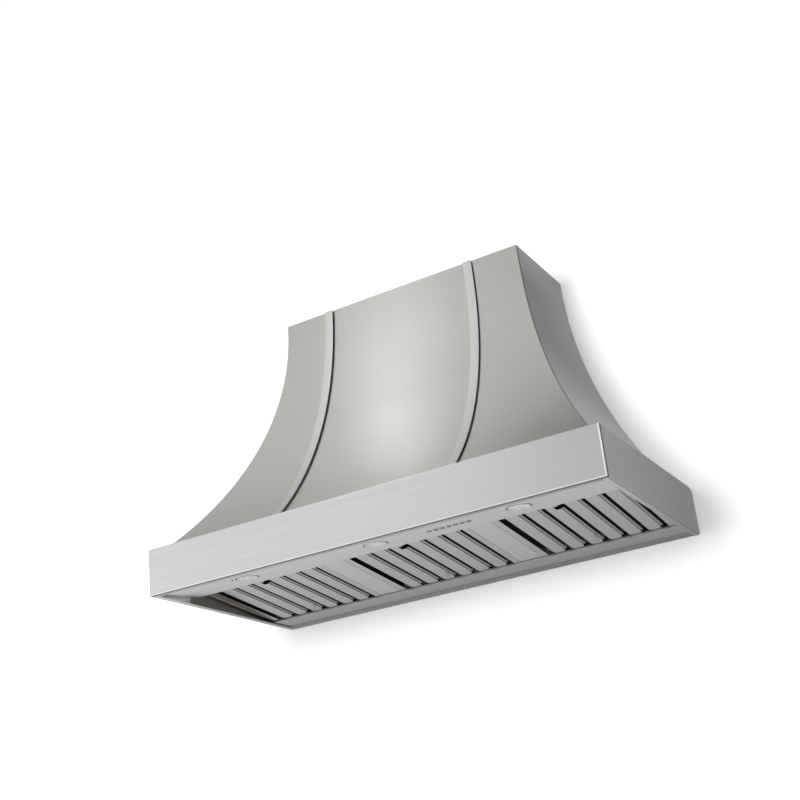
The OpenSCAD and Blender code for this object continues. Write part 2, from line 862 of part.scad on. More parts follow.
// Pull tab: a foot under the strip beside the middle slot and a rounded tab hanging from it
module filter_pull(x) {
  tab_t = 1.2;
  foot_l = 12;
  tip_r = pull_w / 2;
  pull_x = -slot_w / 2 - pull_w / 2 - 1;
  tab_y = filter_l - pull_back;
  color(steel)
    on_filter_plane(x)
      translate([pull_x, tab_y, 0]) {
        block([-pull_w / 2, -foot_l, -tab_t], [pull_w / 2, 0, 0]);
        translate([0, 0, -pull_drop + tip_r]) rotate([90, 0, 0])
          difference() {
            linear_extrude(tab_t) {
              circle(r = tip_r, $fn = small_fn);
              translate([-pull_w / 2, 0]) square([pull_w, pull_drop - tip_r]);
            }
            translate([0, 0, -over]) cylinder(r = tip_r - 2, h = tab_t + 2 * over, $fn = small_fn);
          }
      }
}

module filter_left_frame() { filter_frame(-filter_x); }

module filter_left_lower() { filter_lower(-filter_x); }

module filter_left_upper() { filter_upper(-filter_x); }

module filter_left_pull() { filter_pull(-filter_x); }

module filter_middle_frame() { filter_frame(0); }

module filter_middle_lower() { filter_lower(0); }

module filter_middle_upper() { filter_upper(0); }

module filter_middle_pull() { filter_pull(0); }

module filter_right_frame() { filter_frame(filter_x); }

module filter_right_lower() { filter_lower(filter_x); }

module filter_right_upper() { filter_upper(filter_x); }

module filter_right_pull() { filter_pull(filter_x); }

// Side view of the blower's scroll, drawn in by inset
module scroll_view(inset) {
  r2 = scroll_r + scroll_step;
  low = plate_low_z - outlet_box_h;
  intersection() {
    translate([blower_y, blower_z]) circle(r = scroll_r - inset, $fn = arc_fn);
    translate([blower_y - scroll_r, blower_z]) square(scroll_r);
  }
  intersection() {
    translate([blower_y + scroll_step, blower_z]) circle(r = r2 - inset, $fn = arc_fn);
    translate([blower_y + scroll_step - r2, blower_z - r2]) square(r2);
  }
  intersection() {
    translate([blower_y + scroll_step, blower_z + scroll_step]) circle(r = scroll_r3 - inset, $fn = arc_fn);
    translate([blower_y + scroll_step, blower_z + scroll_step - scroll_r3]) square(scroll_r3);
  }
  translate([blower_y - throat_in + inset, blower_z])
    square([throat_w - 2 * inset, plate_low_z - blower_z + (inset > 0 ? over : 0)]);
  translate([-duct_y - outlet_half_y + inset, low + inset])
    square([2 * (outlet_half_y - inset), outlet_box_h - inset + (inset > 0 ? over : 0)]);
}

// Wrapper of the blower's scroll, with a square outlet box and a flange under the top plate
module blower_scroll() {
  half = housing_half - sheet - joint_gap;
  color(zinc) {
    difference() {
      along_x(-half, half) scroll_view(0);
      along_x(-half - over, half + over) scroll_view(sheet);
    }
    difference() {
      block([-housing_half - outlet_flange, -duct_y - outlet_half_y - outlet_flange, plate_low_z - sheet],
            [housing_half + outlet_flange, -duct_y + outlet_half_y + outlet_flange, plate_low_z]);
      block([-housing_half + sheet, -duct_y - outlet_half_y + sheet, plate_low_z - 2 * sheet],
            [housing_half - sheet, -duct_y + outlet_half_y - sheet, plate_low_z + over]);
      at_collar_screws() translate([0, 0, plate_low_z - 2 * sheet])
        cylinder(r = screw_hole_r, h = 3 * sheet, $fn = small_fn);
    }
  }
}

// Side plates of the scroll, each with a round inlet
module blower_cheeks() {
  top = plate_low_z - sheet - joint_gap;
  color(zinc)
    for (x = [-housing_half, housing_half - sheet])
      difference() {
        along_x(x, x + sheet)
          intersection() {
            scroll_view(0);
            translate([-rim_d, 0]) square([rim_d, top]);
          }
        translate([x - over, axis_y, axis_z]) rotate([0, 90, 0])
          cylinder(r = inlet_r, h = sheet + 2 * over, $fn = arc_fn);
      }
}

// Places a child at the blower's axis, with its Z along the row's X
module on_axis(x) {
  translate([x, axis_y, axis_z]) rotate([0, 90, 0]) children();
}

// One forward-curved blade, as a slice of a ring
module blade_view() {
  curve_r = blade_depth;
  translate([blade_in_r + blade_depth / 2, -curve_r * 0.85])
    intersection() {
      difference() {
        circle(r = curve_r, $fn = round_fn);
        circle(r = curve_r - blade_t, $fn = round_fn);
      }
      translate([-blade_depth / 2, 0]) square([blade_depth, curve_r + over]);
    }
}

// Rings at both ends of the blower's wheel
module wheel_rings() {
  color(zinc)
    for (x = [-wheel_half, wheel_half - ring_w])
      on_axis(x)
        difference() {
          cylinder(r = wheel_r, h = ring_w, $fn = arc_fn);
          translate([0, 0, -over]) cylinder(r = wheel_r - blade_depth, h = ring_w + 2 * over, $fn = arc_fn);
        }
}

// Blades of the wheel, held between its rings
module wheel_blades() {
  half = wheel_half - ring_w - joint_gap;
  color(zinc)
    on_axis(-half)
      linear_extrude(2 * half)
        for (i = [0 : blade_count - 1]) rotate(i * 360 / blade_count) blade_view();
}

// Disc and hub that carry the blades on the shaft
module wheel_disc() {
  bore_r = shaft_r + shaft_fit;
  color(zinc) {
    on_axis(disc_x)
      difference() {
        cylinder(r = blade_in_r - joint_gap, h = disc_t, $fn = arc_fn);
        translate([0, 0, -over]) cylinder(r = hub_r - over, h = disc_t + 2 * over, $fn = round_fn);
      }
    on_axis(hub_x0)
      difference() {
        cylinder(r = hub_r, h = hub_x1 - hub_x0, $fn = round_fn);
        translate([0, 0, -over]) cylinder(r = bore_r, h = hub_x1 - hub_x0 + 2 * over, $fn = round_fn);
      }
  }
}

// Motor shaft, carried by the motor and fixed in the wheel's hub
module motor_shaft() {
  color("silver") on_axis(shaft_x0) cylinder(r = shaft_r, h = shaft_x1 - shaft_x0, $fn = round_fn);
}

// Motor can with end caps and a bearing bore for the shaft
module blower_motor() {
  cap_r = motor_r - 8;
  cap_h = 12;
  color(motor_black)
    difference() {
      union() {
        on_axis(motor_x0 + cap_h) cylinder(r = motor_r, h = motor_x1 - motor_x0 - 2 * cap_h, $fn = round_fn);
        on_axis(motor_x0) cylinder(r = cap_r, h = motor_x1 - motor_x0, $fn = round_fn);
      }
      on_axis(shaft_x0 - 2) cylinder(r = shaft_r + pin_run, h = far, $fn = round_fn);
    }
}

// Ring and three arms that hold the motor in the housing's inlet
module motor_bracket() {
  x1 = -housing_half - gap;
  x0 = x1 - bracket_t - arm_foot;
  color(zinc) {
    on_axis(x0)
      difference() {
        cylinder(r = bracket_r, h = bracket_t, $fn = round_fn);
        translate([0, 0, -over]) cylinder(r = motor_r + gap, h = bracket_t + 2 * over, $fn = round_fn);
      }
    for (i = [0 : 2])
      on_axis(x0) rotate(i * 120) {
        block([bracket_r - over, -arm_w / 2, 0], [arm_end_r, arm_w / 2, bracket_t]);
        block([arm_end_r - bracket_t, -arm_w / 2, 0], [arm_end_r, arm_w / 2, x1 - x0]);
      }
  }
}

module at_collar_screws() {
  for (i = [0 : collar_screw_count - 1])
    translate([0, -duct_y, 0]) rotate((i + 0.5) * 360 / collar_screw_count)
      translate([collar_screw_pcr, 0, 0]) children();
}

// Round collar for the duct, with a foot flange and an inner stop ring for the flaps
module duct_collar() {
  stop_z = damper_pin_z - flap_t / 2 - gap - stop_t;
  color(zinc)
    difference() {
      translate([0, -duct_y, 0])
        rotate_extrude($fn = arc_fn) {
          translate([collar_in_r, plate_z]) square([collar_wall, collar_h]);
          translate([collar_in_r, plate_z]) square([collar_foot + collar_wall, sheet]);
          translate([collar_in_r - stop_w, stop_z]) square([stop_w + collar_wall / 2, stop_t]);
        }
      at_collar_screws() translate([0, 0, plate_z - over])
        cylinder(r = screw_hole_r, h = sheet + 2 * over, $fn = small_fn);
      translate([0, -duct_y, stop_z - over])
        block([-collar_in_r - 0.4, -knuckle_r - gap, 0], [collar_in_r + 0.4, knuckle_r + gap, stop_t + 2 * over]);
    }
}

// Pin across the collar that both flaps turn on
module damper_pin() {
  half = collar_in_r - gap / 2;
  color("silver")
    translate([-half, -duct_y, damper_pin_z]) rotate([0, 90, 0])
      cylinder(r = damper_pin_r, h = 2 * half, $fn = round_fn);
}

// Half of the damper: a plate with two knuckles round the pin, at the given places along it
module damper_flap(side, knuckles) {
  reach = knuckle_r + knuckle_gap;
  color(zinc)
    translate([0, -duct_y, damper_pin_z])
      difference() {
        union() {
          translate([0, 0, -flap_t / 2]) linear_extrude(flap_t)
            intersection() {
              circle(r = flap_r, $fn = arc_fn);
              translate([-flap_r, side > 0 ? reach : -flap_r - reach]) square([2 * flap_r, flap_r]);
            }
          for (x = knuckles) {
            translate([x - knuckle_l / 2, 0, 0]) rotate([0, 90, 0])
              cylinder(r = knuckle_r, h = knuckle_l, $fn = round_fn);
            block([x - knuckle_l / 2, side > 0 ? 0 : -reach - over, -flap_t / 2],
                  [x + knuckle_l / 2, side > 0 ? reach + over : 0, flap_t / 2]);
          }
        }
        translate([-flap_r, 0, 0]) rotate([0, 90, 0])
          cylinder(r = damper_pin_r + pin_run, h = 2 * flap_r, $fn = round_fn);
      }
}

module damper_flap_front() { damper_flap(-1, [-knuckle_x[1], knuckle_x[0]]); }

module damper_flap_rear() { damper_flap(1, [-knuckle_x[0], knuckle_x[1]]); }

// Five-sided box over the cable hole
module junction_box() {
  wall = 1;
  color(zinc)
    difference() {
      block([cable_x - box_w / 2, -back_clear - box_d, cable_z - box_h / 2],
            [cable_x + box_w / 2, -back_clear, cable_z + box_h / 2]);
      block([cable_x - box_w / 2 + wall, -back_clear - box_d + wall, cable_z - box_h / 2 + wall],
            [cable_x + box_w / 2 - wall, over, cable_z + box_h / 2 - wall]);
    }
}

// Screws through the collar's foot, the top plate and the blower's flange
module collar_screws() {
  color("silver")
    at_collar_screws() {
      translate([0, 0, plate_z + sheet]) cylinder(r = screw_head_r, h = screw_head_h, $fn = small_fn);
      translate([0, 0, plate_z - 3 * sheet - over]) cylinder(r = screw_r, h = 4 * sheet + 2 * over, $fn = small_fn);
    }
}

// Small screw that shows beside the left lamp
module panel_screw() {
  color(dark_steel)
    on_panel(panel_screw_x, panel_screw_in) {
      translate([0, 0, -screw_head_h / 2]) cylinder(r = screw_head_r - 1, h = screw_head_h / 2, $fn = small_fn);
      cylinder(r = screw_r, h = 6, $fn = small_fn);
    }
}

canopy_front();
canopy_left();
canopy_right();
canopy_top();
strap_left();
strap_right();
rim_front();
rim_left();
rim_right();
rim_rear();
back_panel();
mounting_rails();
control_panel();
control_cover();
switch_board();
button_1();
button_2();
button_3();
button_4();
button_5();
button_6();
button_7();
lamp_left_body();
lamp_middle_body();
lamp_right_body();
lamp_left_lens();
lamp_middle_lens();
lamp_right_lens();
divider_left();
divider_right();
side_liner_left();
side_liner_right();
grease_trough();
filter_left_frame();
filter_left_lower();
filter_left_upper();
filter_left_pull();
filter_middle_frame();
filter_middle_lower();
filter_middle_upper();
filter_middle_pull();
filter_right_frame();
filter_right_lower();
filter_right_upper();
filter_right_pull();
blower_scroll();
blower_cheeks();
wheel_rings();
wheel_blades();
wheel_disc();
motor_shaft();
blower_motor();
motor_bracket();
duct_collar();
damper_pin();
damper_flap_front();
damper_flap_rear();
junction_box();
collar_screws();
panel_screw();
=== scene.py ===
# %% [markdown]
# # A wall mount range hood in brushed steel
# The hood hangs on a kitchen wall over the cooker: a bell-shaped canopy on a straight rim, with
# lamps, buttons and lift-out filters underneath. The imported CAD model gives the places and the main
# sizes. This lesson loads it, makes the sheets and strips that show again as smooth folded steel,
# gives each part its finish, and lights it like a studio photograph.

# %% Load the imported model
import json
import math

import bmesh
import bpy
from mathutils import Matrix, Vector

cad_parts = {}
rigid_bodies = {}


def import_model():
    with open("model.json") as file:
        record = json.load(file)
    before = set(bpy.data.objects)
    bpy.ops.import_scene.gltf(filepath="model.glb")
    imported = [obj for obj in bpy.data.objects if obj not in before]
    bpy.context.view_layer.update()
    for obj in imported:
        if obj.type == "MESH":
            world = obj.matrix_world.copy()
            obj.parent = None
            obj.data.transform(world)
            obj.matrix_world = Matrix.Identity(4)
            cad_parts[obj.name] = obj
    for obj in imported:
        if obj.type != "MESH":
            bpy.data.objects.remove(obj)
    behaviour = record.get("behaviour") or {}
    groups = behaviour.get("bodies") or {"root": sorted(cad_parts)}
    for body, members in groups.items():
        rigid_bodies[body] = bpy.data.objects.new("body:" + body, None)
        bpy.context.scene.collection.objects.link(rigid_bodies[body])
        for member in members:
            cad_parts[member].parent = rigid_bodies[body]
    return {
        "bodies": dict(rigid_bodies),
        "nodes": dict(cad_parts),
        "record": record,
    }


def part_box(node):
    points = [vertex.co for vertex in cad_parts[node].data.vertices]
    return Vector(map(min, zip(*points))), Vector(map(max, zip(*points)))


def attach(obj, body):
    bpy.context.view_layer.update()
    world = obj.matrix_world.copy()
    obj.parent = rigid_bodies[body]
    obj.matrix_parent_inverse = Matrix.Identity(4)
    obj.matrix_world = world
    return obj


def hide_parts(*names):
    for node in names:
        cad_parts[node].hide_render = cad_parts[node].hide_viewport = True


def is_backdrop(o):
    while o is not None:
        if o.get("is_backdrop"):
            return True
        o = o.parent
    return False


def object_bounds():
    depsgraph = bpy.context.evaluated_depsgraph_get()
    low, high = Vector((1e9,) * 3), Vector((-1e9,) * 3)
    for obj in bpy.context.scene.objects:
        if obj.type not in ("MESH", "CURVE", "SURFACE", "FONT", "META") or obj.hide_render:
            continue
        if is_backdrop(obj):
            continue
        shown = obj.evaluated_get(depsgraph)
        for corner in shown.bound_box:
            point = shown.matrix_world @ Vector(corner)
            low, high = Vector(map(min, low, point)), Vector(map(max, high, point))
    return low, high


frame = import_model()
cad_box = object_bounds()
cad = frame["nodes"]
mm = 0.001
print("loaded", len(cad), "nodes on", len(frame["bodies"]), "bodies")

# %% [markdown]
# ## The camera
# The photograph looks up at the hood from below and from the right. Its camera could be placed by
# eye, but matching the hood's corners is surer: the three angles, the place and the focal length
# found that way put every corner within a few pixels of its place. The focal length is given in
# pixels of an 800 pixel frame, and Blender wants millimetres on a 36 mm sensor.

# %% Make the camera
frame_pixels, focal_pixels, sensor_width, view_reach = 800, 1270.13, 36.0, 60.0
azimuth, elevation, roll = (math.radians(a) for a in (28.151, -22.328, -6.056))
camera_place = Vector((1.42578, -2.99918, -0.80685))

back = Vector((math.sin(azimuth) * math.cos(elevation),
               -math.cos(azimuth) * math.cos(elevation), math.sin(elevation)))
level_right = Vector((math.cos(azimuth), math.sin(azimuth), 0))
level_up = back.cross(level_right)
right = math.cos(roll) * level_right + math.sin(roll) * level_up
up = math.cos(roll) * level_up - math.sin(roll) * level_right

camera_data = bpy.data.cameras.new("photo_camera")
camera_data.sensor_width = sensor_width
camera_data.lens = sensor_width * focal_pixels / frame_pixels
camera_data.clip_end = view_reach
camera = bpy.data.objects.new("photo_camera", camera_data)
bpy.context.scene.collection.objects.link(camera)
camera.matrix_world = Matrix.Translation(camera_place) @ Matrix((right, up, back)).transposed().to_4x4()
bpy.context.scene.camera = camera
print("camera lens", round(camera_data.lens, 2), "mm")

# %% [markdown]
# ## Node trees as expressions
# Materials and Geometry Nodes are both node trees, and both are mostly arithmetic. Written link by
# link they are hard to read, so this class wraps an output socket and lets Python's own operators
# add the Math nodes. Every other node comes from one method, which sets the node's settings first
# and then fills its sockets with values or links.

# %% A socket that does arithmetic
class Wire:
    """An output socket of a node tree, for writing the tree's maths as Python expressions."""

    def __init__(self, tree, socket):
        self.tree, self.socket = tree, socket

    @staticmethod
    def node(tree, kind, settings=None, inputs=None, out=0):
        made = tree.nodes.new(kind)
        for name, value in (settings or {}).items():
            setattr(made, name, value)
        for key, value in (inputs or {}).items():
            if isinstance(value, Wire):
                tree.links.new(value.socket, made.inputs[key])
            else:
                made.inputs[key].default_value = value
        return Wire(tree, made.outputs[out])

    def math(self, operation, *others):
        return Wire.node(self.tree, "ShaderNodeMath", {"operation": operation},
                         dict(enumerate([self, *others])))

    def __add__(self, other):
        return self.math("ADD", other)

    __radd__ = __add__

    def __mul__(self, other):
        return self.math("MULTIPLY", other)

    def __sub__(self, other):
        return self.math("SUBTRACT", other)

    def __rsub__(self, other):
        return Wire.node(self.tree, "ShaderNodeMath", {"operation": "SUBTRACT"}, {0: other, 1: self})

    def __truediv__(self, other):
        return self.math("DIVIDE", other)

    def __pow__(self, other):
        return self.math("POWER", other)

    def at_least(self, other):
        return self.math("MAXIMUM", other)

    def at_most(self, other):
        return self.math("MINIMUM", other)

    def above(self, level):
        return self.math("GREATER_THAN", level)

    def below(self, level):
        return self.math("LESS_THAN", level)

    def between(self, low, high):
        return self.above(low) * self.below(high)

    def ramp(self, start, end):
        """0 at start, 1 at end, and straight between."""
        return ((self - start) / (end - start)).at_least(0).at_most(1)


def split(tree, point):
    """The x, y and z of a point, each as a wire."""
    place = Wire.node(tree, "ShaderNodeSeparateXYZ", {}, {0: point})
    return tuple(Wire(tree, socket) for socket in place.socket.node.outputs)


print("a wire can add, multiply, divide, compare and ramp")

# %% [markdown]
# ## The canopy's rule
# The canopy is three sheets: one over the front, rolled to a hollow curve, and one for each side,
# cut to the front's curve and rolled to a curve of its own. The curve could be traced from the
# photograph, but an arc is what rollers give, and it takes two numbers. Each arc starts upright at
# the top, so its radius follows from its rise and its run. The CAD boxes give both.

# %% Measure the canopy
canopy_low, canopy_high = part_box("canopy_front")
rim_top, canopy_top = canopy_low.z, canopy_high.z
foot_half, foot_depth = canopy_high.x, -canopy_low.y
pan_low, pan_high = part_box("canopy_top")
pan_clearance = 1.5 * mm
top_half, top_depth = pan_high.x + pan_clearance, -pan_low.y + pan_clearance
rise = canopy_top - rim_top
sheet, seam, rear_clearance, corner_flange = 1.2 * mm, 1.8 * mm, 1.5 * mm, 2.4 * mm


def arc_radius(run):
    return (run * run + rise * rise) / (2 * run)


def arc_in(fall, top, radius):
    """How far a sheet stands out at a fall below the top, for numbers and for wires."""
    return top + radius - (radius * radius - fall * fall) ** 0.5


side_radius, front_radius = arc_radius(foot_half - top_half), arc_radius(foot_depth - top_depth)
print("canopy arcs: side", round(side_radius, 3), "m, front", round(front_radius, 3), "m")

# %% [markdown]
# ## The start of every material
# Each finish on the hood is a Principled shader with a little noise in it, because no real surface
# is perfectly even. A picture could give that, but noise nodes need no file and never repeat.
# Object coordinates keep a pattern's size the same on every piece. These helpers start a material,
# find the point that is being shaded, and mix two colours by a noise.

# %% Helpers for materials
def new_material(name):
    """A material with an empty tree but for its Principled shader, and those two."""
    material = bpy.data.materials.new(name)
    material.use_nodes = True
    tree = material.node_tree
    shader = next(n for n in tree.nodes if n.type == "BSDF_PRINCIPLED")
    return material, tree, shader


def object_point(tree):
    return Wire.node(tree, "ShaderNodeTexCoord", out="Object")


def noise(tree, point, scale, detail=2.0, roughness=0.5):
    """Noise from 0 to 1, stretched by a scale for each axis."""
    stretched = Wire.node(tree, "ShaderNodeMapping", {}, {"Vector": point, "Scale": scale})
    return Wire.node(tree, "ShaderNodeTexNoise", {"noise_dimensions": "3D"},
                     {"Vector": stretched, "Scale": 1.0, "Detail": detail, "Roughness": roughness})


def mix_colour(tree, factor, first, second):
    """A colour between two, by a factor from 0 to 1. Each is three numbers or a wire.

    The Mix node has its colours in sockets 6 and 7, and the mixed colour is its output 2.
    """
    first, second = (c if isinstance(c, Wire) else (*c, 1) for c in (first, second))
    return Wire.node(tree, "ShaderNodeMix", {"data_type": "RGBA"}, {0: factor, 6: first, 7: second}, out=2)


def bumps(tree, height, strength, depth):
    """A normal that rises and falls with a noise."""
    return Wire.node(tree, "ShaderNodeBump", {}, {"Strength": strength, "Distance": depth, "Height": height},
                     out="Normal")


def plug(tree, shader, **wires):
    """Links each wire to the shader's socket of that name, with _ for a space."""
    for name, wire in wires.items():
        tree.links.new(wire.socket, shader.inputs[name.replace("_", " ")])


def shade(colour, by):
    return tuple(min(1.0, c * by) for c in colour)


print("materials start from Object coordinates and noise")

# %% [markdown]
# ## Brushed steel
# The hood is brushed stainless steel: an abrasive belt has left fine scratches that all run one
# way. Across the scratches the surface is rough, along them it is smooth, so a lamp shows in it as
# a long streak at right angles to the scratches. Real grooves would need millions of faces, so the
# Principled shader does it with its Anisotropic value. The scratches themselves are noise,
# stretched about eighty times along the grain: a fine one for the bump and the roughness, and a
# coarse one for the streaks that the eye sees.

# %% Make brushed steel
stroke, coarse, fine_stroke, fine, cloud, cross_cloud = 3.0, 240.0, 12.0, 900.0, 2.0, 6.0
streak_share, scratch_share, cloud_share, contrast = 0.45, 0.35, 0.20, 2.4
rough_by_scratch, rough_by_cloud = 0.12, 0.08
scratch_strength, scratch_depth = 0.5, 0.02 * mm
grain_turn = 0.25


def brushed_steel(name, colour, grain, rough, anisotropic, streak=0.05, places=()):
    """Steel brushed along x or y.

    places lists pairs of a function, from a point's x, y, z to a mask, and the shade there.
    """
    material, tree, shader = new_material(name)
    point = object_point(tree)

    def along_grain(slow, quick):
        return (slow, quick, quick) if grain == "x" else (quick, slow, quick)

    streaks = noise(tree, point, along_grain(stroke, coarse), detail=3.0, roughness=0.7)
    scratches = noise(tree, point, along_grain(fine_stroke, fine), roughness=0.6)
    clouds = noise(tree, point, along_grain(cloud, cross_cloud))
    pattern = streaks * streak_share + scratches * scratch_share + clouds * cloud_share
    lightness = (pattern - 0.5) * contrast + 0.5
    base = mix_colour(tree, lightness, shade(colour, 1 - streak), shade(colour, 1 + streak))
    if places:
        x, y, z = split(tree, point)
        for mask, level in places:
            base = mix_colour(tree, mask(x, y, z), base, shade(colour, level))
    uneven = rough + (scratches - 0.5) * rough_by_scratch + (clouds - 0.5) * rough_by_cloud
    plug(tree, shader, Base_Color=base, Roughness=uneven,
         Normal=bumps(tree, scratches, scratch_strength, scratch_depth))
    shader.inputs["Metallic"].default_value = 1.0
    shader.inputs["Anisotropic"].default_value = anisotropic
    shader.inputs["Anisotropic Rotation"].default_value = grain_turn
    return material


print("scratches", round(1000 / fine, 2), "mm across,", round(1000 / fine_stroke), "mm along")

# %% [markdown]
# ## Where the rim's folds catch the light
# The rim is bent from one sheet, and each fold is a round of a few millimetres: its outside mirrors
# a lamp as a bright line, and the lip behind it lies in the dark. A small studio has few things to
# mirror, so these lines come out weak. A mask for each of them, worked out from the distance to the
# rim's edges, makes them as clear as in the photograph.

# %% Mask the rim's folds
rim_low, rim_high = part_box("rim_front")
fold, rim_wrap, rim_rear_y = 3 * mm, 8 * mm, -0.12
lip_height, edge_width, corner_width = 0.5 * fold, 0.8 * fold, 0.4 * fold
bright_width, left_depth, joint_width = 1.3 * fold, 0.6 * fold, 0.6 * fold
lip_line = (rim_low.y + 0.5 * fold, rim_low.y + 2.6 * fold)
corner_line = (rim_low.y + 0.8 * fold, rim_low.y + 2.2 * fold)
side_lip_line = (0.5 * fold, 1.6 * fold)


def rim_fold_shade(x, y, z):
    """Painted shade just behind the bottom and right corner folds, and on the front's left edge."""
    bottom = z.below(lip_height) * y.between(*lip_line)
    corner = x.above(rim_high.x - corner_width) * y.between(*corner_line)
    left_edge = x.below(rim_low.x + edge_width) * y.below(rim_low.y + left_depth)
    return bottom.at_least(corner).at_least(left_edge)


def rim_fold_highlight(x, y, z):
    """A painted highlight on the rounds of the bottom fold and of the right corner."""
    rounds = z.below(fold).at_least(x.above(rim_high.x - bright_width))
    return y.below(rim_low.y + edge_width) * rounds


def rim_right_end_shade(x, y, z):
    """Painted shade on the front band's right half, which mirrors less of the light on the left."""
    return x.ramp(0.0, rim_high.x)


def rim_side_fold_shade(x, y, z):
    """Painted shade just behind a side band's bottom fold."""
    inward = rim_high.x - x.math("ABSOLUTE")
    return z.below(lip_height) * inward.between(*side_lip_line)


def rim_side_rear_shade(x, y, z):
    """Painted shade on a side band's rear half, near the wall."""
    return y.ramp(rim_low.y, rim_rear_y)


def rim_joint_shade(x, y, z):
    """Painted shade where a side band goes in behind the front band's edge."""
    return y.below(rim_low.y + rim_wrap + joint_width)


print("rim folds of", round(fold / mm, 1), "mm, the front band's wrap", round(rim_wrap / mm, 1), "mm")

# %% [markdown]
# ## Light and shade across the canopy
# The canopy's curved sheets mirror the whole room, from the bright side on the left to the dim wall
# over the hood. The studio here is an even white, so the same sheets would come out too even. A few
# wide, soft masks, in metres along each axis, give back the room's light and shade. Painting them
# as a picture would do it too, but a ramp can be read and changed.

# %% Mask the canopy's shades
right_fade, low_right_fade = (0.15, 0.60), (0.50, 0.15)
middle_fade, low_middle_fade = (0.45, 0.10), (0.45, 0.22)
wall_fade, high_fade, side_foot_fade = (-0.22, -0.04), (0.25, 0.60), (0.35, 0.14)
upper_start, upper_end, flange_shade = (0.26, 0.50), (0.80, 0.68), 3 * mm


def lower_right(x, y, z):
    """The front sheet's foot on the right, where it mirrors the dim wall above."""
    return x.ramp(*right_fade) * z.ramp(*low_right_fade)


def middle_foot(x, y, z):
    """The front sheet's foot in the middle, where the streak of light runs out."""
    return x.math("ABSOLUTE").ramp(*middle_fade) * z.ramp(*low_middle_fade)


def side_rear(x, y, z):
    """Painted shade on the side sheets' upper rear, close to the wall."""
    return y.ramp(*wall_fade) * z.ramp(*high_fade)


def left_side(x, y, z):
    """Painted shade on the left side sheet, which faces the brighter side of the studio."""
    return x.below(0)


def side_middle(x, y, z):
    """The upper middle of the side sheets, between a lighter top and the foot."""
    return z.ramp(*upper_start) * z.ramp(*upper_end)


def side_foot(x, y, z):
    """The side sheets' foot, which turns up to the light."""
    return z.ramp(*side_foot_fade)


def side_edge(x, y, z):
    """The side sheets' front edge, in the shade of the front sheet's flange."""
    front = arc_in(canopy_top - z, top_depth, front_radius) * -1
    return y.below(front + corner_flange + seam + flange_shade)


print("canopy shades from", round(rim_top, 3), "to", round(canopy_top, 3), "m")

# %% [markdown]
# ## One steel for each sheet
# All the sheets are the same steel, but the way each is brushed and turned changes how light it
# looks. One material could do for all, but in this even studio some sheets then come out too pale
# and some too dark. So each gets its own colour, lighter or darker as painted light or shade, its
# grain's direction and the masks on it.

# %% Mix the steels
# The colours differ from sheet to sheet as painted light and shade; the rear band's is a painted shade.
canopy_colour, canopy_side_colour = (0.48, 0.475, 0.453), (0.87, 0.86, 0.825)
rim_colour, rim_side_colour, strap_colour = (0.65, 0.65, 0.65), (0.87, 0.87, 0.87), (0.58, 0.58, 0.565)
# The liner's dark brown is painted shade, for the recess it lies in beside the filters.
panel_colour, trough_colour, liner_shade_colour = (0.93, 0.935, 0.945), (0.62, 0.62, 0.605), (0.27, 0.25, 0.23)
rim_rear_shade, tab_colour = 0.66, (0.60, 0.60, 0.59)

canopy_front_steel = brushed_steel(
    "canopy_front_steel", canopy_colour, "x", rough=0.34, anisotropic=0.85, streak=0.05,
    places=[(lower_right, 0.76), (middle_foot, 1.15)])
canopy_side_steel = brushed_steel(
    "canopy_side_steel", canopy_side_colour, "y", rough=0.32, anisotropic=0.7, streak=0.06,
    places=[(side_foot, 1.12), (side_middle, 0.56), (side_rear, 0.72), (left_side, 0.75), (side_edge, 0.2)])
strap_steel = brushed_steel("strap_steel", strap_colour, "x", rough=0.34, anisotropic=0.85, streak=0.03)
rim_front_steel = brushed_steel(
    "rim_front_steel", rim_colour, "x", rough=0.36, anisotropic=0.6, streak=0.11,
    places=[(rim_right_end_shade, 0.83), (rim_fold_highlight, 1.6), (rim_fold_shade, 0.18)])
rim_side_steel = brushed_steel(
    "rim_side_steel", rim_side_colour, "y", rough=0.36, anisotropic=0.6, streak=0.13,
    places=[(rim_side_rear_shade, 0.66), (rim_side_fold_shade, 0.4), (rim_joint_shade, 0.5)])
rim_rear_steel = brushed_steel("rim_rear_steel", shade(rim_colour, rim_rear_shade), "x",
                               rough=0.36, anisotropic=0.5, streak=0.08)
panel_steel = brushed_steel("panel_steel", panel_colour, "x", rough=0.36, anisotropic=0.5)
trough_steel = brushed_steel("trough_steel", trough_colour, "x", rough=0.34, anisotropic=0.5, streak=0.09)
liner_steel = brushed_steel("liner_steel", liner_shade_colour, "y", rough=0.38, anisotropic=0.4)
tab_steel = brushed_steel("tab_steel", tab_colour, "y", rough=0.25, anisotropic=0.3)
print("brushed steels:", sum(m.name.endswith("_steel") for m in bpy.data.materials))

# %% [markdown]
# ## Galvanised sheet
# Behind the steel the hood is galvanised sheet, on which zinc has frozen in flakes a few
# millimetres across, called spangle. Plain noise has no edges, so it can't show flakes. Voronoi
# cells do: they give each flake its own lightness and gloss.

# %% Make galvanised sheet
flake, spangle_share, zinc_cloud = 8 * mm, 0.7, 9
zinc_dark, zinc_light, zinc_rough, zinc_rough_range = 0.86, 1.12, 0.32, 0.18
zinc_colour = (0.56, 0.58, 0.60)


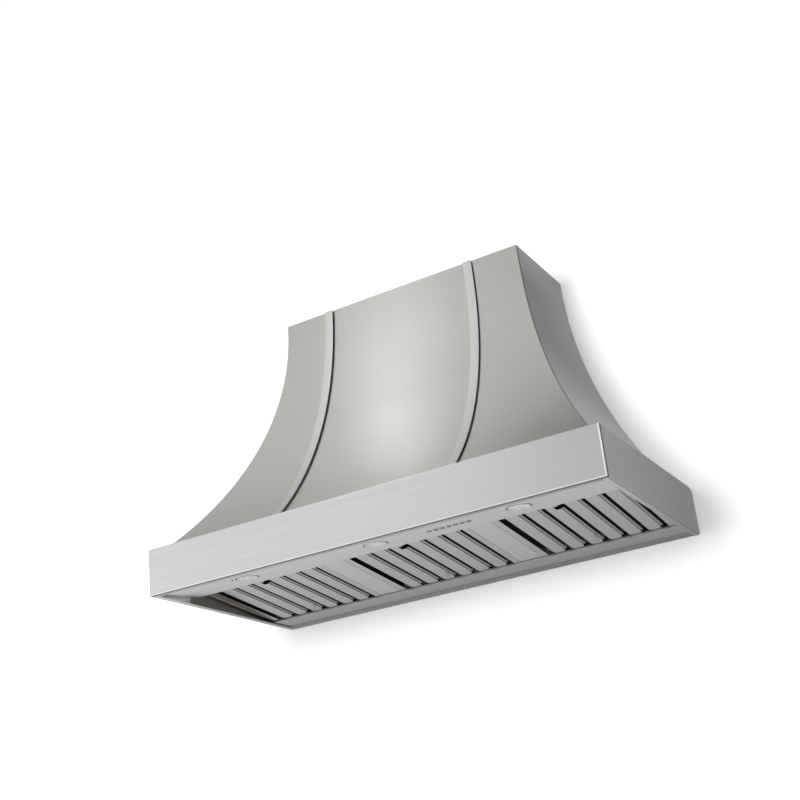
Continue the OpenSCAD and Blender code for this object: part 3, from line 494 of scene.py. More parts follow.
def galvanised_sheet(name, colour):
    material, tree, shader = new_material(name)
    point = object_point(tree)
    cells = Wire.node(tree, "ShaderNodeTexVoronoi", {}, {"Vector": point, "Scale": 1 / flake}, out="Color")
    pick = Wire.node(tree, "ShaderNodeSeparateColor", {}, {"Color": cells}, out=0)
    clouds = noise(tree, point, (zinc_cloud,) * 3, detail=3.0)
    tone = pick * spangle_share + clouds * (1 - spangle_share)
    base = mix_colour(tree, tone, shade(colour, zinc_dark), shade(colour, zinc_light))
    plug(tree, shader, Base_Color=base, Roughness=zinc_rough + pick * zinc_rough_range)
    shader.inputs["Metallic"].default_value = 1.0
    return material


zinc = galvanised_sheet("galvanised_sheet", zinc_colour)
print("spangle flakes of", round(flake / mm), "mm")

# %% [markdown]
# ## The other finishes
# The lamps' bezels are satin chrome, their lenses are frosted, the motor is painted, and the buttons
# and screws are bright or dark steel; the buttons' dark also paints the shade round them. Each could
# have a recipe of its own, but at this size they differ in colour, gloss and metal only, so one
# recipe makes them all.

# %% Make the plain finishes
peel_size, peel_strength, peel_depth, rough_by_peel = 600.0, 0.4, 0.02 * mm, 0.1
paint_dark, paint_light, paint_cloud = 0.94, 1.05, 14


def painted(name, colour, rough, metallic=0.0, coat=0.0):
    """A plain finish with a slight orange peel and a little unevenness in its colour."""
    material, tree, shader = new_material(name)
    point = object_point(tree)
    peel = noise(tree, point, (peel_size,) * 3)
    clouds = noise(tree, point, (paint_cloud,) * 3)
    base = mix_colour(tree, clouds, shade(colour, paint_dark), shade(colour, paint_light))
    plug(tree, shader, Base_Color=base, Roughness=rough + (peel - 0.5) * rough_by_peel,
         Normal=bumps(tree, peel, peel_strength, peel_depth))
    shader.inputs["Metallic"].default_value = metallic
    shader.inputs["Coat Weight"].default_value = coat
    return material


bezel_chrome = painted("bezel_chrome", (0.85, 0.85, 0.85), rough=0.22, metallic=1.0)
# The buttons' dark steel also paints the shade round each button.
button_steel = painted("button_steel", (0.30, 0.305, 0.31), rough=0.28, metallic=1.0)
frosted_lens = painted("frosted_lens", (0.66, 0.67, 0.68), rough=0.4, coat=0.3)
motor_paint = painted("motor_paint", (0.03, 0.03, 0.034), rough=0.4, coat=0.2)
screw_steel = painted("screw_steel", (0.55, 0.55, 0.55), rough=0.25, metallic=1.0)
# The gasket's black also paints the dark line of shade round each lamp's bezel.
gasket_black = painted("gasket_black", (0.02, 0.02, 0.02), rough=0.6)
dark_screw = painted("dark_screw", (0.12, 0.12, 0.12), rough=0.35, metallic=1.0)
print("plain finishes: chrome, button steel, lens, motor paint, screws and gasket")

# %% [markdown]
# ## The switch board
# The board behind the buttons is green lacquer over copper tracks. The tracks could be modelled,
# but they are thinner than a hair and hidden under a cover, so a brick pattern draws them.

# %% Make the board's finish
lacquer, second_lacquer, over_copper = (0.05, 0.22, 0.12, 1), (0.06, 0.26, 0.14, 1), (0.13, 0.38, 0.20, 1)
track_scale, track_width, board_rough = 120.0, 0.05, 0.35


def circuit_board(name):
    material, tree, shader = new_material(name)
    tracks = Wire.node(tree, "ShaderNodeTexBrick", {"offset": 0.5},
                       {"Vector": object_point(tree), "Scale": track_scale, "Mortar Size": track_width,
                        "Color1": lacquer, "Color2": second_lacquer, "Mortar": over_copper}, out="Color")
    plug(tree, shader, Base_Color=tracks)
    shader.inputs["Roughness"].default_value = board_rough
    return material


board_green = circuit_board("board_green")
print("materials so far:", len(bpy.data.materials))

# %% [markdown]
# ## A grain direction for the shader
# Cycles needs to know which way the scratches run. A UV map could tell it, but nothing else here
# needs one, and without it Cycles takes the direction round the middle of the mesh's texture
# space. If that space is set far to one side and made very wide, every point of the mesh sees the
# same direction. So each steel mesh keeps its grain there, and no node is needed for it.

# %% Point the scratches
texture_far, texture_wide = 10.0, 1000.0


def set_grain(mesh, grain):
    """Points the mesh's scratches along x or along y."""
    mesh.use_auto_texspace = False
    if grain == "x":
        mesh.texspace_location = (0, texture_far, 0)
        mesh.texspace_size = (texture_wide, 1, 1)
    else:
        mesh.texspace_location = (texture_far, 0, 0)
        mesh.texspace_size = (1, texture_wide, 1)


print("texture space", texture_far, "m to the side and", texture_wide, "m wide")

# %% [markdown]
# ## From a surface to a sheet
# A sheet-metal part starts flat and thin, and its bends are round. Each piece here is drawn as its
# outside surface with sharp folds. Bevel then rounds the folds, Solidify gives the sheet its
# thickness, and Weighted Normal keeps the flats flat between the rounds. Modelling both faces by
# hand would take twice the points and never stay even. The modifiers are applied at the end, so
# that the piece is a plain mesh.

# %% Helpers for sheets and pieces
fold_angle, edge_angle, smooth_angle = 40, 60, 35
edge_share, face_weight = 0.2, 85


def link_piece(name, mesh, material):
    """A new object of that mesh, at the origin, all in that material."""
    piece = bpy.data.objects.new(name, mesh)
    bpy.context.scene.collection.objects.link(piece)
    mesh.materials.clear()
    mesh.materials.append(material)
    mesh.polygons.foreach_set("material_index", [0] * len(mesh.polygons))
    return piece


def baked(piece):
    """Applies the piece's modifiers, so that what is left is a plain mesh."""
    bpy.context.view_layer.update()
    graph = bpy.context.evaluated_depsgraph_get()
    mesh = bpy.data.meshes.new_from_object(piece.evaluated_get(graph), preserve_all_data_layers=True,
                                           depsgraph=graph)
    old = piece.data
    piece.modifiers.clear()
    piece.data = mesh
    mesh.name = piece.name
    if old.users == 0:
        bpy.data.meshes.remove(old)
    return piece


def add_bevel(piece, name, width, segments, angle=fold_angle):
    bevel = piece.modifiers.new(name, "BEVEL")
    bevel.width, bevel.segments = width, segments
    bevel.limit_method = "ANGLE"
    bevel.angle_limit = math.radians(angle)


def add_flat_faces(piece):
    """Turns each corner's normal towards its largest face, so that flats stay flat."""
    weights = piece.modifiers.new("flat_faces", "WEIGHTED_NORMAL")
    weights.keep_sharp, weights.weight = True, face_weight


def add_sheet_finish(piece, thickness, fold=0.0, segments=4):
    """Rounds an open surface's folds, gives it its thickness inwards, and breaks its edges."""
    piece.data.shade_smooth()
    if fold:
        add_bevel(piece, "folds", fold, segments)
    solid = piece.modifiers.new("thickness", "SOLIDIFY")
    solid.thickness, solid.offset = thickness, -1
    solid.use_even_offset = True
    add_bevel(piece, "edges", thickness * edge_share, 1, edge_angle)
    add_flat_faces(piece)


def smooth(mesh, angle=smooth_angle):
    """Smooth shading, but for edges sharper than that angle."""
    mesh.shade_smooth()
    mesh.set_sharp_from_angle(angle=math.radians(angle))


def finish_piece(piece, body, slot, *nodes, grain=None):
    """Sets the piece's grain, rides it on its body and hides the CAD nodes it stands for."""
    if grain:
        set_grain(piece.data, grain)
    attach(piece, body)
    if nodes:
        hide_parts(*nodes)
    print(f"{piece.name}: {len(piece.data.polygons)} faces on {body}")
    return piece


print("folds from", fold_angle, "degrees, sharp edges from", smooth_angle, "degrees")

# %% [markdown]
# ## Curves from a rule
# The canopy's sheets and straps are rolled, and brushed steel shows every flat on a curve. Points
# moved by hand leave flats. A grid whose points are moved by a rule doesn't, so Geometry Nodes
# build these sheets: the tree has the sizes as inputs, and the rule can be read in one place.

# %% A class for geometry trees
class Shape:
    """A geometry tree with named sizes as its inputs, and the pieces made with it."""

    def __init__(self, name, **sizes):
        self.tree = bpy.data.node_groups.new(name, "GeometryNodeTree")
        self.identifiers = {}
        face = self.tree.interface
        face.new_socket("Geometry", in_out="INPUT", socket_type="NodeSocketGeometry")
        for size in sizes:
            whole = isinstance(sizes[size], int)
            socket = face.new_socket(size, in_out="INPUT",
                                     socket_type="NodeSocketInt" if whole else "NodeSocketFloat")
            self.identifiers[size] = socket.identifier
        socket = face.new_socket("Finish", in_out="INPUT", socket_type="NodeSocketMaterial")
        self.identifiers["Finish"] = socket.identifier
        face.new_socket("Geometry", in_out="OUTPUT", socket_type="NodeSocketGeometry")
        self.sizes = sizes
        self.entry = self.tree.nodes.new("NodeGroupInput")

    def __getitem__(self, size):
        return Wire(self.tree, self.entry.outputs[size])

    def add(self, kind, settings=None, inputs=None, out=0):
        return Wire.node(self.tree, kind, settings, inputs, out)

    def grid(self, columns, rows):
        """A grid of that many points, and each point's column and row, counted from 0."""
        mesh = self.add("GeometryNodeMeshGrid", {}, {"Size X": columns - 1.0, "Size Y": rows - 1.0,
                                                     "Vertices X": columns, "Vertices Y": rows})
        x, y, _ = split(self.tree, self.add("GeometryNodeInputPosition"))
        return mesh, x + (columns - 1) / 2, y + (rows - 1) / 2

    def moved(self, mesh, x, y, z):
        """The mesh with its points set to these coordinates."""
        place = self.add("ShaderNodeCombineXYZ", {}, {0: x, 1: y, 2: z})
        return self.add("GeometryNodeSetPosition", {}, {"Geometry": mesh, "Position": place})

    def finish(self, mesh):
        """Ends the tree with Realize Instances and Set Material."""
        real = self.add("GeometryNodeRealizeInstances", {}, {0: mesh})
        dressed = self.add("GeometryNodeSetMaterial", {}, {"Geometry": real, "Material": self["Finish"]})
        end = self.tree.nodes.new("NodeGroupOutput")
        self.tree.links.new(dressed.socket, end.inputs[0])
        print(f"{self.tree.name}: {len(self.tree.nodes)} nodes, inputs {', '.join(self.sizes)}")
        return self

    def make(self, name, material, source=None, **changes):
        """A piece with this tree's result as a plain mesh. Its inputs are set by their identifiers."""
        piece = bpy.data.objects.new(name, source or bpy.data.meshes.new(name))
        bpy.context.scene.collection.objects.link(piece)
        modifier = piece.modifiers.new("shape", "NODES")
        modifier.node_group = self.tree
        for size, value in {**self.sizes, **changes}.items():
            modifier[self.identifiers[size]] = value
        modifier[self.identifiers["Finish"]] = material
        return baked(piece)


canopy_rows = 72
print("grids with", canopy_rows, "rows down the canopy")

# %% [markdown]
# ## The front sheet
# The front sheet is one plate, rolled to a hollow curve, whose sides are cut to the side sheets'
# curve and turned back as short flanges round the corners. Extruding a drawn profile would give
# the hollow but not the taper. In a grid each row knows how far it has fallen from the top, and
# the arcs give its depth and its half width. The outermost columns are the flanges.

# %% The front sheet's rule
front_columns, canopy_fold = 26, 1.3 * mm


def front_sheet(columns, rows):
    """Columns run from a flange round the left corner to one round the right corner."""
    shape = Shape("front_sheet_rule", Rise=rise, TopHalf=top_half, TopDepth=top_depth,
                  SideRadius=side_radius, FrontRadius=front_radius, Flange=corner_flange)
    mesh, column, row = shape.grid(columns, rows)
    fall = shape["Rise"] * (1 - row / (rows - 1))
    half = arc_in(fall, shape["TopHalf"], shape["SideRadius"])
    depth = arc_in(fall, shape["TopDepth"], shape["FrontRadius"])
    across = ((column - 1) / (columns - 3)).at_least(0).at_most(1) * 2 - 1
    beyond = (1 - column).at_least(column - (columns - 2)).at_least(0)
    flange_y = shape["Flange"] * beyond
    return shape.finish(shape.moved(mesh, half * across, flange_y - depth, canopy_top - fall))


front_rule = front_sheet(front_columns, canopy_rows)
canopy_front = front_rule.make("canopy_front_sheet", canopy_front_steel)
add_sheet_finish(canopy_front, sheet, canopy_fold)
baked(canopy_front)
finish_piece(canopy_front, "hood", "canopy_steel", "canopy_front", grain="x")

# %% [markdown]
# ## The side sheets
# Each side sheet is cut to the front's curve and rolled to its own. It starts behind the front
# sheet's flange and leaves a thin open seam there, which shows as a dark line down each corner.
# Mirroring one sheet would do for both, but the same rule with its Side at -1 or 1 keeps the two
# as separate plain meshes.

# %% The side sheets' rule
side_columns = 22


def side_sheet(columns, rows):
    """Columns run from the front corner's seam to the wall. Side is -1 or 1."""
    shape = Shape("side_sheet_rule", Rise=rise, TopHalf=top_half, TopDepth=top_depth,
                  SideRadius=side_radius, FrontRadius=front_radius, Start=corner_flange + seam,
                  End=rear_clearance, Side=1.0)
    mesh, column, row = shape.grid(columns, rows)
    fall = shape["Rise"] * (1 - row / (rows - 1))
    half = arc_in(fall, shape["TopHalf"], shape["SideRadius"])
    depth = arc_in(fall, shape["TopDepth"], shape["FrontRadius"])
    share = column / (columns - 1)
    front = shape["Start"] - depth
    y = front + (shape["End"] * -1 - front) * share
    return shape.finish(shape.moved(mesh, half * shape["Side"], y, canopy_top - fall))


side_rule = side_sheet(side_columns, canopy_rows)
for side, name in ((-1.0, "left"), (1.0, "right")):
    piece = side_rule.make(f"canopy_{name}_sheet", canopy_side_steel, Side=side)
    if side < 0:
        piece.data.flip_normals()
    add_sheet_finish(piece, sheet)
    baked(piece)
    finish_piece(piece, "hood", "canopy_steel", f"canopy_{name}", grain="y")

# %% [markdown]
# ## The straps
# Each strap is a strip of steel on a narrower channel, whose legs stand on the front sheet, so a
# dark line shows along the strip's edge. It follows the sheet's own curve a few millimetres
# further out. A strip could be shrunk onto the sheet, but it would pick up the sheet's facets. The
# canopy's own arc with a smaller radius can't drift off it. One rule makes strip and channel: rows
# of points down the curve, and a few columns for the section.

# %% Write the straps' rule
strap_low, strap_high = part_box("strap_right")
strap_width, strap_stand, strap_gap, leg_in = 24 * mm, 6 * mm, 0.3 * mm, 5 * mm
strap_top_x, strap_foot_x = strap_low.x + strap_width / 2, strap_high.x - strap_width / 2
arc_centre_y = -(top_depth + front_radius)


def strap_rule(name, columns, rows):
    """With 4 columns the outer two are the feet of the legs, with 2 it is a flat strip."""
    shape = Shape(name, Rise=rise, Radius=front_radius, Stand=strap_stand, Foot=strap_gap,
                  Width=strap_width, TopX=strap_top_x, FootX=strap_foot_x, Side=1.0)
    mesh, column, row = shape.grid(columns, rows)
    margin = (columns - 2) // 2
    out = (column + 1 - margin).at_most(columns - margin - column).at_most(1)
    radius = shape["Radius"] - shape["Foot"] - (shape["Stand"] - shape["Foot"]) * out
    steepest = (shape["Rise"] / radius).math("ARCSINE")
    turn = steepest * (1 - row / (rows - 1))
    fall = radius * turn.math("SINE")
    y = arc_centre_y + radius * turn.math("COSINE")
    centre = shape["TopX"] + (shape["FootX"] - shape["TopX"]) * (fall / shape["Rise"])
    across = (column - margin).at_least(0).at_most(1) - 0.5
    x = shape["Side"] * centre + shape["Width"] * across
    return shape.finish(shape.moved(mesh, x, y, canopy_top - fall))


strip_rule = strap_rule("strap_strip_rule", 2, canopy_rows)
channel_rule = strap_rule("strap_channel_rule", 4, canopy_rows)

# %% [markdown]
# ## The straps' two layers
# On the real hood the strip is spot-welded to its channel, so both are one part that nothing takes
# apart. Two objects on one body would do as well. One mesh is simpler: each layer gets its
# thickness and its folds first, then the two are joined. The channel's top end shows from above,
# so it is closed with a face.

# %% Make the straps
channel_sheet, channel_fold, weld_depth = 0.8 * sheet, 0.8 * mm, 0.9 * sheet
end_reach, joined_angle = 0.01 * mm, 60


def close_end(mesh, height):
    """Fills the open end of a channel that lies at that height."""
    work = bmesh.new()
    work.from_mesh(mesh)
    ends = sorted((v for v in work.verts if abs(v.co.z - height) < end_reach), key=lambda v: v.co.x)
    left, right = (sorted(pair, key=lambda v: v.co.y) for pair in (ends[:2], ends[2:]))
    face = work.faces.new((left[1], left[0], right[0], right[1]))
    face.normal_update()
    if face.normal.z < 0:
        face.normal_flip()
    work.to_mesh(mesh)
    work.free()


def joined(name, pieces, material):
    """One piece from several, with their meshes in place and their flats shaded flat again."""
    work = bmesh.new()
    for piece in pieces:
        work.from_mesh(piece.data)
    mesh = bpy.data.meshes.new(name)
    work.to_mesh(mesh)
    work.free()
    for piece in pieces:
        bpy.data.objects.remove(piece)
    whole = link_piece(name, mesh, material)
    smooth(mesh, joined_angle)
    add_flat_faces(whole)
    return baked(whole)


for side, name in ((-1.0, "left"), (1.0, "right")):
    strip = strip_rule.make("strip", strap_steel, Side=side)
    add_sheet_finish(strip, sheet)
    channel = channel_rule.make("channel", strap_steel, Side=side, Stand=strap_stand - weld_depth,
                                Width=strap_width - 2 * leg_in)
    close_end(channel.data, canopy_top)
    add_sheet_finish(channel, channel_sheet, channel_fold)
    piece = joined(f"strap_{name}_strip", [baked(strip), baked(channel)], strap_steel)
    finish_piece(piece, "hood", "strap_steel", f"strap_{name}", grain="x")

# %% [markdown]
# ## Pieces that keep their CAD shape
# The rim, the panel, the trough and the dividers are folded sheet that CAD has drawn exactly. They
# could be drawn again, but only their shading needs work: CAD meshes are loose triangles, flat
# shaded, so a fold looks faceted. A copy is merged, its folds are shaded smooth and its flats are
# kept flat by weighting each normal with its face's area. The copy then stands for the node.

# %% Dress the folded CAD sheets
merge_distance = 0.005 * mm


def dressed_copy(node, material, body, slot, grain=None):
    mesh = cad[node].data.copy()
    work = bmesh.new()
    work.from_mesh(mesh)
    bmesh.ops.remove_doubles(work, verts=work.verts, dist=merge_distance)
    work.to_mesh(mesh)
    work.free()
    mesh.name = node + "_sheet"
    piece = link_piece(node + "_sheet", mesh, material)
    smooth(mesh)
    add_flat_faces(piece)
    baked(piece)
    return finish_piece(piece, body, slot, node, grain=grain)


for node_name, material, slot, grain in (
        ("rim_front", rim_front_steel, "rim_steel", "x"),
        ("rim_left", rim_side_steel, "rim_steel", "y"),
        ("rim_right", rim_side_steel, "rim_steel", "y"),
        ("rim_rear", rim_rear_steel, "rim_steel", "x"),
        ("control_panel", panel_steel, "panel_steel", "x"),
        ("grease_trough", trough_steel, "liner_steel", "x"),
        ("side_liner_left", liner_steel, "liner_steel", "y"),
        ("side_liner_right", liner_steel, "liner_steel", "y")):
    dressed_copy(node_name, material, "hood", slot, grain)

# %% [markdown]
# ## The filters' steel
# A baffle filter is a steel frame with two layers of folded channels. The lower ones open upwards
# and leave slots between them; the upper ones open downwards and cover the slots. Grease in the air
# can't follow the turns, hits the steel and runs down to the trough. In a kitchen little light
# comes up into the slots, but here the white air lights them too. Dimming the air would dim all
# the rest, so a mask of the height above the filter's underside darkens the slots alone.

# %% Measure a filter and mix its steel
filter_low, filter_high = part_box("filter_middle_frame")
filter_tilt, filter_height = math.radians(6.2), 24 * mm
filter_width = filter_high.x - filter_low.x
filter_front_y = filter_low.y
filter_front_z = filter_high.z - filter_height * math.cos(filter_tilt)
filter_run = filter_high.y - filter_low.y - filter_height * math.sin(filter_tilt)
filter_length = filter_run / math.cos(filter_tilt)
step_low, step_high, right_slot_fade = 0.5 * mm, 2 * mm, (0.15, 0.30)


def filter_rise(y, z):
    """How far a point lies above the filter's underside."""
    return (y - filter_front_y) * math.sin(filter_tilt) + (z - filter_front_z) * math.cos(filter_tilt)


def slot_shade(x, y, z):
    """Painted shade up in the slots, where less light comes."""
    return filter_rise(y, z).above(step_high)


# Painted shade, a little deeper in the right filter's slots.
def right_slot_shade(x, y, z):
    """The slots of the right filter, which the photo looks into more squarely."""
    return slot_shade(x, y, z) * x.ramp(*right_slot_fade)


# Painted shade on each step.
def step_shade(x, y, z):
    """The upright step between a strip and its ledge, which has no light of its own to mirror."""
    return filter_rise(y, z).between(step_low, step_high)


# The upper channels' near black is painted shade: they are seen only up through the slots.
filter_colour, baffle_shade_colour, divider_shade = (0.70, 0.69, 0.67), (0.08, 0.078, 0.072), 1.14
filter_steel = brushed_steel("filter_steel", filter_colour, "y", rough=0.34, anisotropic=0.5,
                             places=[(slot_shade, 0.78), (right_slot_shade, 0.74), (step_shade, 0.12)])
baffle_steel = brushed_steel("baffle_steel", baffle_shade_colour, "y", rough=0.38, anisotropic=0.4)
divider_steel = brushed_steel("divider_steel", shade(filter_colour, divider_shade), "y",
                              rough=0.34, anisotropic=0.5)
for side in ("left", "right"):
    dressed_copy(f"divider_{side}", divider_steel, "hood", "liner_steel", "y")
print("filter", round(filter_width / mm), "by", round(filter_length / mm), "mm")

# %% [markdown]
# ## One channel of each layer
# A channel is a strip of thin sheet with its edges folded up, cut square in front and rounded at
# the rear, and one of them has a notch for a finger. Extruding a drawn section gives the folds but
# neither the rounded end nor the notch. So a function carries the section through rows: for the
# notch one stretch is left out on one side, and a last face is the rounded tongue.

# %% Draw a channel
strip_sheet, channel_segments, on_face, corner_steps = 0.8 * mm, 3, 1e-7, 6


def channel_mesh(name, section, rows, cut=None, tongue=None):
    """A folded strip: a section of (x, z) points carried along Y through the rows.

    Seen from the section's first point towards its last, the sheet's outside is on the right. cut
    is (x, row): right of that x, nothing is made from that row to the next. tongue is
    (half width, end, radius): the face goes on to that end, with rounded corners.
    """
    work = bmesh.new()
    rings = [[work.verts.new((x, y, z)) for x, z in section] for y in rows]
    for r in range(len(rows) - 1):
        for i in range(len(section) - 1):
            middle_x = (section[i][0] + section[i + 1][0]) / 2
            if not (cut and r == cut[1] and middle_x > cut[0]):
                work.faces.new((rings[r][i], rings[r][i + 1], rings[r + 1][i + 1], rings[r + 1][i]))
    if tongue:
        half, end, radius = tongue
        joint = [v for v in rings[-1] if abs(v.co.z) < on_face]
        turns = [math.pi / 2 * i / corner_steps for i in range(corner_steps + 1)]
        corner = [(half - radius + radius * math.sin(t), end - radius + radius * math.cos(t)) for t in turns]
        outline = [(-x, y) for x, y in reversed(corner)] + corner
        work.faces.new(joint + [work.verts.new((x, y, 0)) for x, y in outline])
    loose = [v for v in work.verts if not v.link_faces]
    bmesh.ops.delete(work, geom=loose, context="VERTS")
    mesh = bpy.data.meshes.new(name)
    work.to_mesh(mesh)
    work.free()
    return mesh


def folded_channel(name, material, fold, *shape, **more):
    piece = link_piece(name, channel_mesh(name, *shape, **more), material)
    add_sheet_finish(piece, strip_sheet, fold, channel_segments)
    return baked(piece)


print("channels of", round(strip_sheet / mm, 1), "mm sheet")

# %% [markdown]
# ## The channels' sizes
# A lower channel is a flat face with a small step and a ledge on each side, and then a wall. An
# upper one is a plain channel turned over, above a slot. CAD has them as well, but with sharp
# folds, which catch no light. The sections below have the same pitch, widths and heights, and
# rounded folds. The photograph shows a ledge on the right of each strip, so the left one is narrow.

# %% Size the channels
slot_count, slot_pitch, slot_width = 7, 50 * mm, 18 * mm
filter_land, strip_gap, end_radius = 20 * mm, 0.2 * mm, 11 * mm
notch_width, notch_start, notch_end = 12 * mm, 62 * mm, 80 * mm
strip_fold, cover_fold = 0.8 * mm, 1.3 * mm

half, ledge_z, lower_wall = (slot_pitch - slot_width) / 2, 2.2 * mm, 11 * mm
ledge_right, ledge_left = half + 6.5 * mm, half + 2 * mm
lower_section = [(ledge_right, lower_wall), (ledge_right, ledge_z), (half, ledge_z), (half, 0),
                 (half - notch_width, 0), (-half, 0), (-half, ledge_z), (-ledge_left, ledge_z),
                 (-ledge_left, lower_wall)]
lower_start, lower_end = filter_land + strip_gap, filter_length - end_radius - strip_sheet
rear_tongue = (half, filter_length, end_radius)

upper_half, upper_low, upper_high = slot_width / 2 + 6 * mm, 9 * mm, 19.8 * mm
upper_section = [(-upper_half, upper_low), (-upper_half, upper_high), (upper_half, upper_high),
                 (upper_half, upper_low)]
upper_rows = (strip_sheet + strip_gap, filter_length - strip_sheet - strip_gap)
print("strips", round(2 * half / mm), "mm wide, covers", round(2 * upper_half / mm), "mm")

# %% [markdown]
# ## A row of channels
# All the channels of a layer are alike and stand at an even pitch. They could be copied in a loop,
# which is fine for seven. Geometry Nodes do it by a rule instead: a line of points about the
# middle, with the piece's own mesh on each. The channel beside the middle slot has the notch, so
# the row leaves that point out and the notched one is made apart.

# %% Repeat the channels across each filter
def row_rule():
    """Copies the piece's own mesh along X, at a pitch about the middle, but for one of them."""
    shape = Shape("row_of_channels", Count=slot_count, Pitch=slot_pitch, LeftOut=-1)
    first = (shape["Count"] - 1) * shape["Pitch"] * -0.5
    line = shape.add("GeometryNodeMeshLine", {}, {
        "Count": shape["Count"], "Start Location": shape.add("ShaderNodeCombineXYZ", {}, {0: first}),
        "Offset": shape.add("ShaderNodeCombineXYZ", {}, {0: shape["Pitch"]})})
    index = shape.add("GeometryNodeInputIndex")
    kept = (index - shape["LeftOut"]).math("ABSOLUTE").above(0.5)
    copies = shape.add("GeometryNodeInstanceOnPoints", {}, {
        "Points": line, "Instance": Wire(shape.tree, shape.entry.outputs[0]), "Selection": kept})
    return shape.finish(copies)


def on_filter(centre_x):
    """Takes a mesh drawn on the filter's underside to its place in the hood."""
    place = Matrix.Translation((centre_x, filter_front_y, filter_front_z))
    return place @ Matrix.Rotation(-filter_tilt, 4, "X")


channel_row = row_rule()
notched_index = slot_count // 2 - 1
notched_x = (notched_index - (slot_count - 2) / 2) * slot_pitch
for name in ("left", "middle", "right"):
    body = f"filter_{name}"
    low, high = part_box(f"{body}_frame")
    in_hood = on_filter((low.x + high.x) / 2)
    plain = folded_channel("plain_channel", filter_steel, strip_fold, lower_section,
                           (lower_start, lower_end), tongue=rear_tongue)
    lower = channel_row.make(f"{body}_lower_channels", filter_steel, source=plain.data,
                             Count=slot_count - 1, LeftOut=notched_index)
    bpy.data.objects.remove(plain)
    notched = folded_channel("notched_channel", filter_steel, strip_fold, lower_section,
                             (lower_start, notch_start, notch_end, lower_end),
                             cut=(half - notch_width, 1), tongue=rear_tongue)
    notched.data.transform(Matrix.Translation((notched_x, 0, 0)))
    lower = joined(f"{body}_lower_channels", [lower, notched], filter_steel)
    lower.data.transform(in_hood)
    finish_piece(lower, body, "filter_steel", f"{body}_lower", grain="y")
    cover = folded_channel("cover_channel", baffle_steel, cover_fold, upper_section, upper_rows)
    upper = channel_row.make(f"{body}_upper_channels", baffle_steel, source=cover.data, Count=slot_count)
    bpy.data.objects.remove(cover)
    upper.data.transform(in_hood)
    finish_piece(upper, body, "filter_steel", f"{body}_upper", grain="y")
    dressed_copy(f"{body}_frame", filter_steel, body, "filter_steel", "y")
    dressed_copy(f"{body}_pull", tab_steel, body, "filter_steel")

# %% [markdown]
# ## Turned shapes
# A lamp's body is spun from sheet on a lathe, and its glass is pressed round. The Screw modifier
# could turn an outline, but an outline's edges hold no material, and the gasket needs its own. So
# this function carries the outline round: each point has a radius, a height and a material, and a
# point on the axis is one vertex.

# %% Turn an outline
turn_steps, turned_angle, on_axis = 96, 40, 1e-7


def turned(name, outline, *materials):
    """Carries (radius, height, material index) points round Z, as a closed solid."""
    work = bmesh.new()
    rings = []
    for radius, height, _ in outline:
        if radius < on_axis:
            rings.append([work.verts.new((0, 0, height))] * turn_steps)
        else:
            rings.append([work.verts.new((radius * math.cos(t), radius * math.sin(t), height))
                          for t in (2 * math.pi * i / turn_steps for i in range(turn_steps))])
    for k, (_, _, index) in enumerate(outline):
        inner, outer = rings[k], rings[(k + 1) % len(rings)]
        for i in range(turn_steps):
            j = (i + 1) % turn_steps
            corners = list(dict.fromkeys((inner[i], inner[j], outer[j], outer[i])))
            if len(corners) > 2:
                work.faces.new(corners).material_index = index
    bmesh.ops.recalc_face_normals(work, faces=work.faces)
    mesh = bpy.data.meshes.new(name)
    work.to_mesh(mesh)
    work.free()
    piece = bpy.data.objects.new(name, mesh)
    bpy.context.scene.collection.objects.link(piece)
    for material in materials:
        mesh.materials.append(material)
    smooth(mesh, turned_angle)
    return piece


print("turned shapes in", turn_steps, "steps")

# %% [markdown]
# ## The lamps
# Each lamp is a metal can whose bezel is a rounded ring, with a glass lens inside and a thin black
# gasket under the bezel, whose black also paints the dark line of shade round the bezel. The lens
# has fine concentric ribs that spread the light. Bump could draw the ribs, but the meshes are
# looked at too, so they are in the outline as a small cosine wave.

# %% Turn the lamps
panel_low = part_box("control_panel")[0]
panel_drop, panel_depth, lamp_in = 14, 140, 62 * mm
panel_tilt = math.atan2(panel_drop, panel_depth)
bezel_radius, bezel_ring, bezel_proud, bezel_ease, bezel_steps = 30 * mm, 4.5 * mm, 1.8 * mm, 0.9, 10
gasket_width, gasket_thickness = 2.2 * mm, 0.3 * mm
can_height, can_wall, lens_thickness, lens_gap = 16 * mm, 1 * mm, 2.2 * mm, 0.3 * mm
dome, dome_radius, rib_height, rib_count, lens_points = 1 * mm, 180 * mm, 0.22 * mm, 7, 84


def lamp_outline():
    """The bezel's round, then the can behind the panel, outside and inside."""
    ring_in, can = bezel_radius - bezel_ring, bezel_radius - bezel_ring / 2
    gasket_in, half_ring = bezel_radius - gasket_width, (bezel_ring - gasket_width) / 2
    middle, lens_back = gasket_in - half_ring, lens_thickness + lens_gap
    turns = [math.pi * i / bezel_steps for i in range(bezel_steps)]
    bezel = [(middle - half_ring * math.cos(t), -bezel_proud * math.sin(t) * bezel_ease, 0) for t in turns]
    gasket = [(gasket_in, 0, 1), (gasket_in, -gasket_thickness, 1), (bezel_radius, -gasket_thickness, 1),
              (bezel_radius, 0, 1)]
    return [(ring_in, lens_back, 0)] + bezel + gasket + [
        (can, 0, 0), (can, can_height, 0), (0, can_height, 0), (0, can_height - can_wall, 0),
        (can - can_wall, can_height - can_wall, 0), (can - can_wall, lens_back, 0)]


def lens_outline():
    """A dome whose underside has ribs, and a flat back."""
    radius = bezel_radius - bezel_ring - lens_gap
    under = []
    for i in range(lens_points + 1):
        r = radius * i / lens_points
        rib = rib_height * (1 - math.cos(2 * math.pi * rib_count * i / lens_points))
        under.append((r, -dome + r * r / (2 * dome_radius) + rib, 0))
    return under + [(radius, lens_thickness, 0), (0, lens_thickness, 0)]


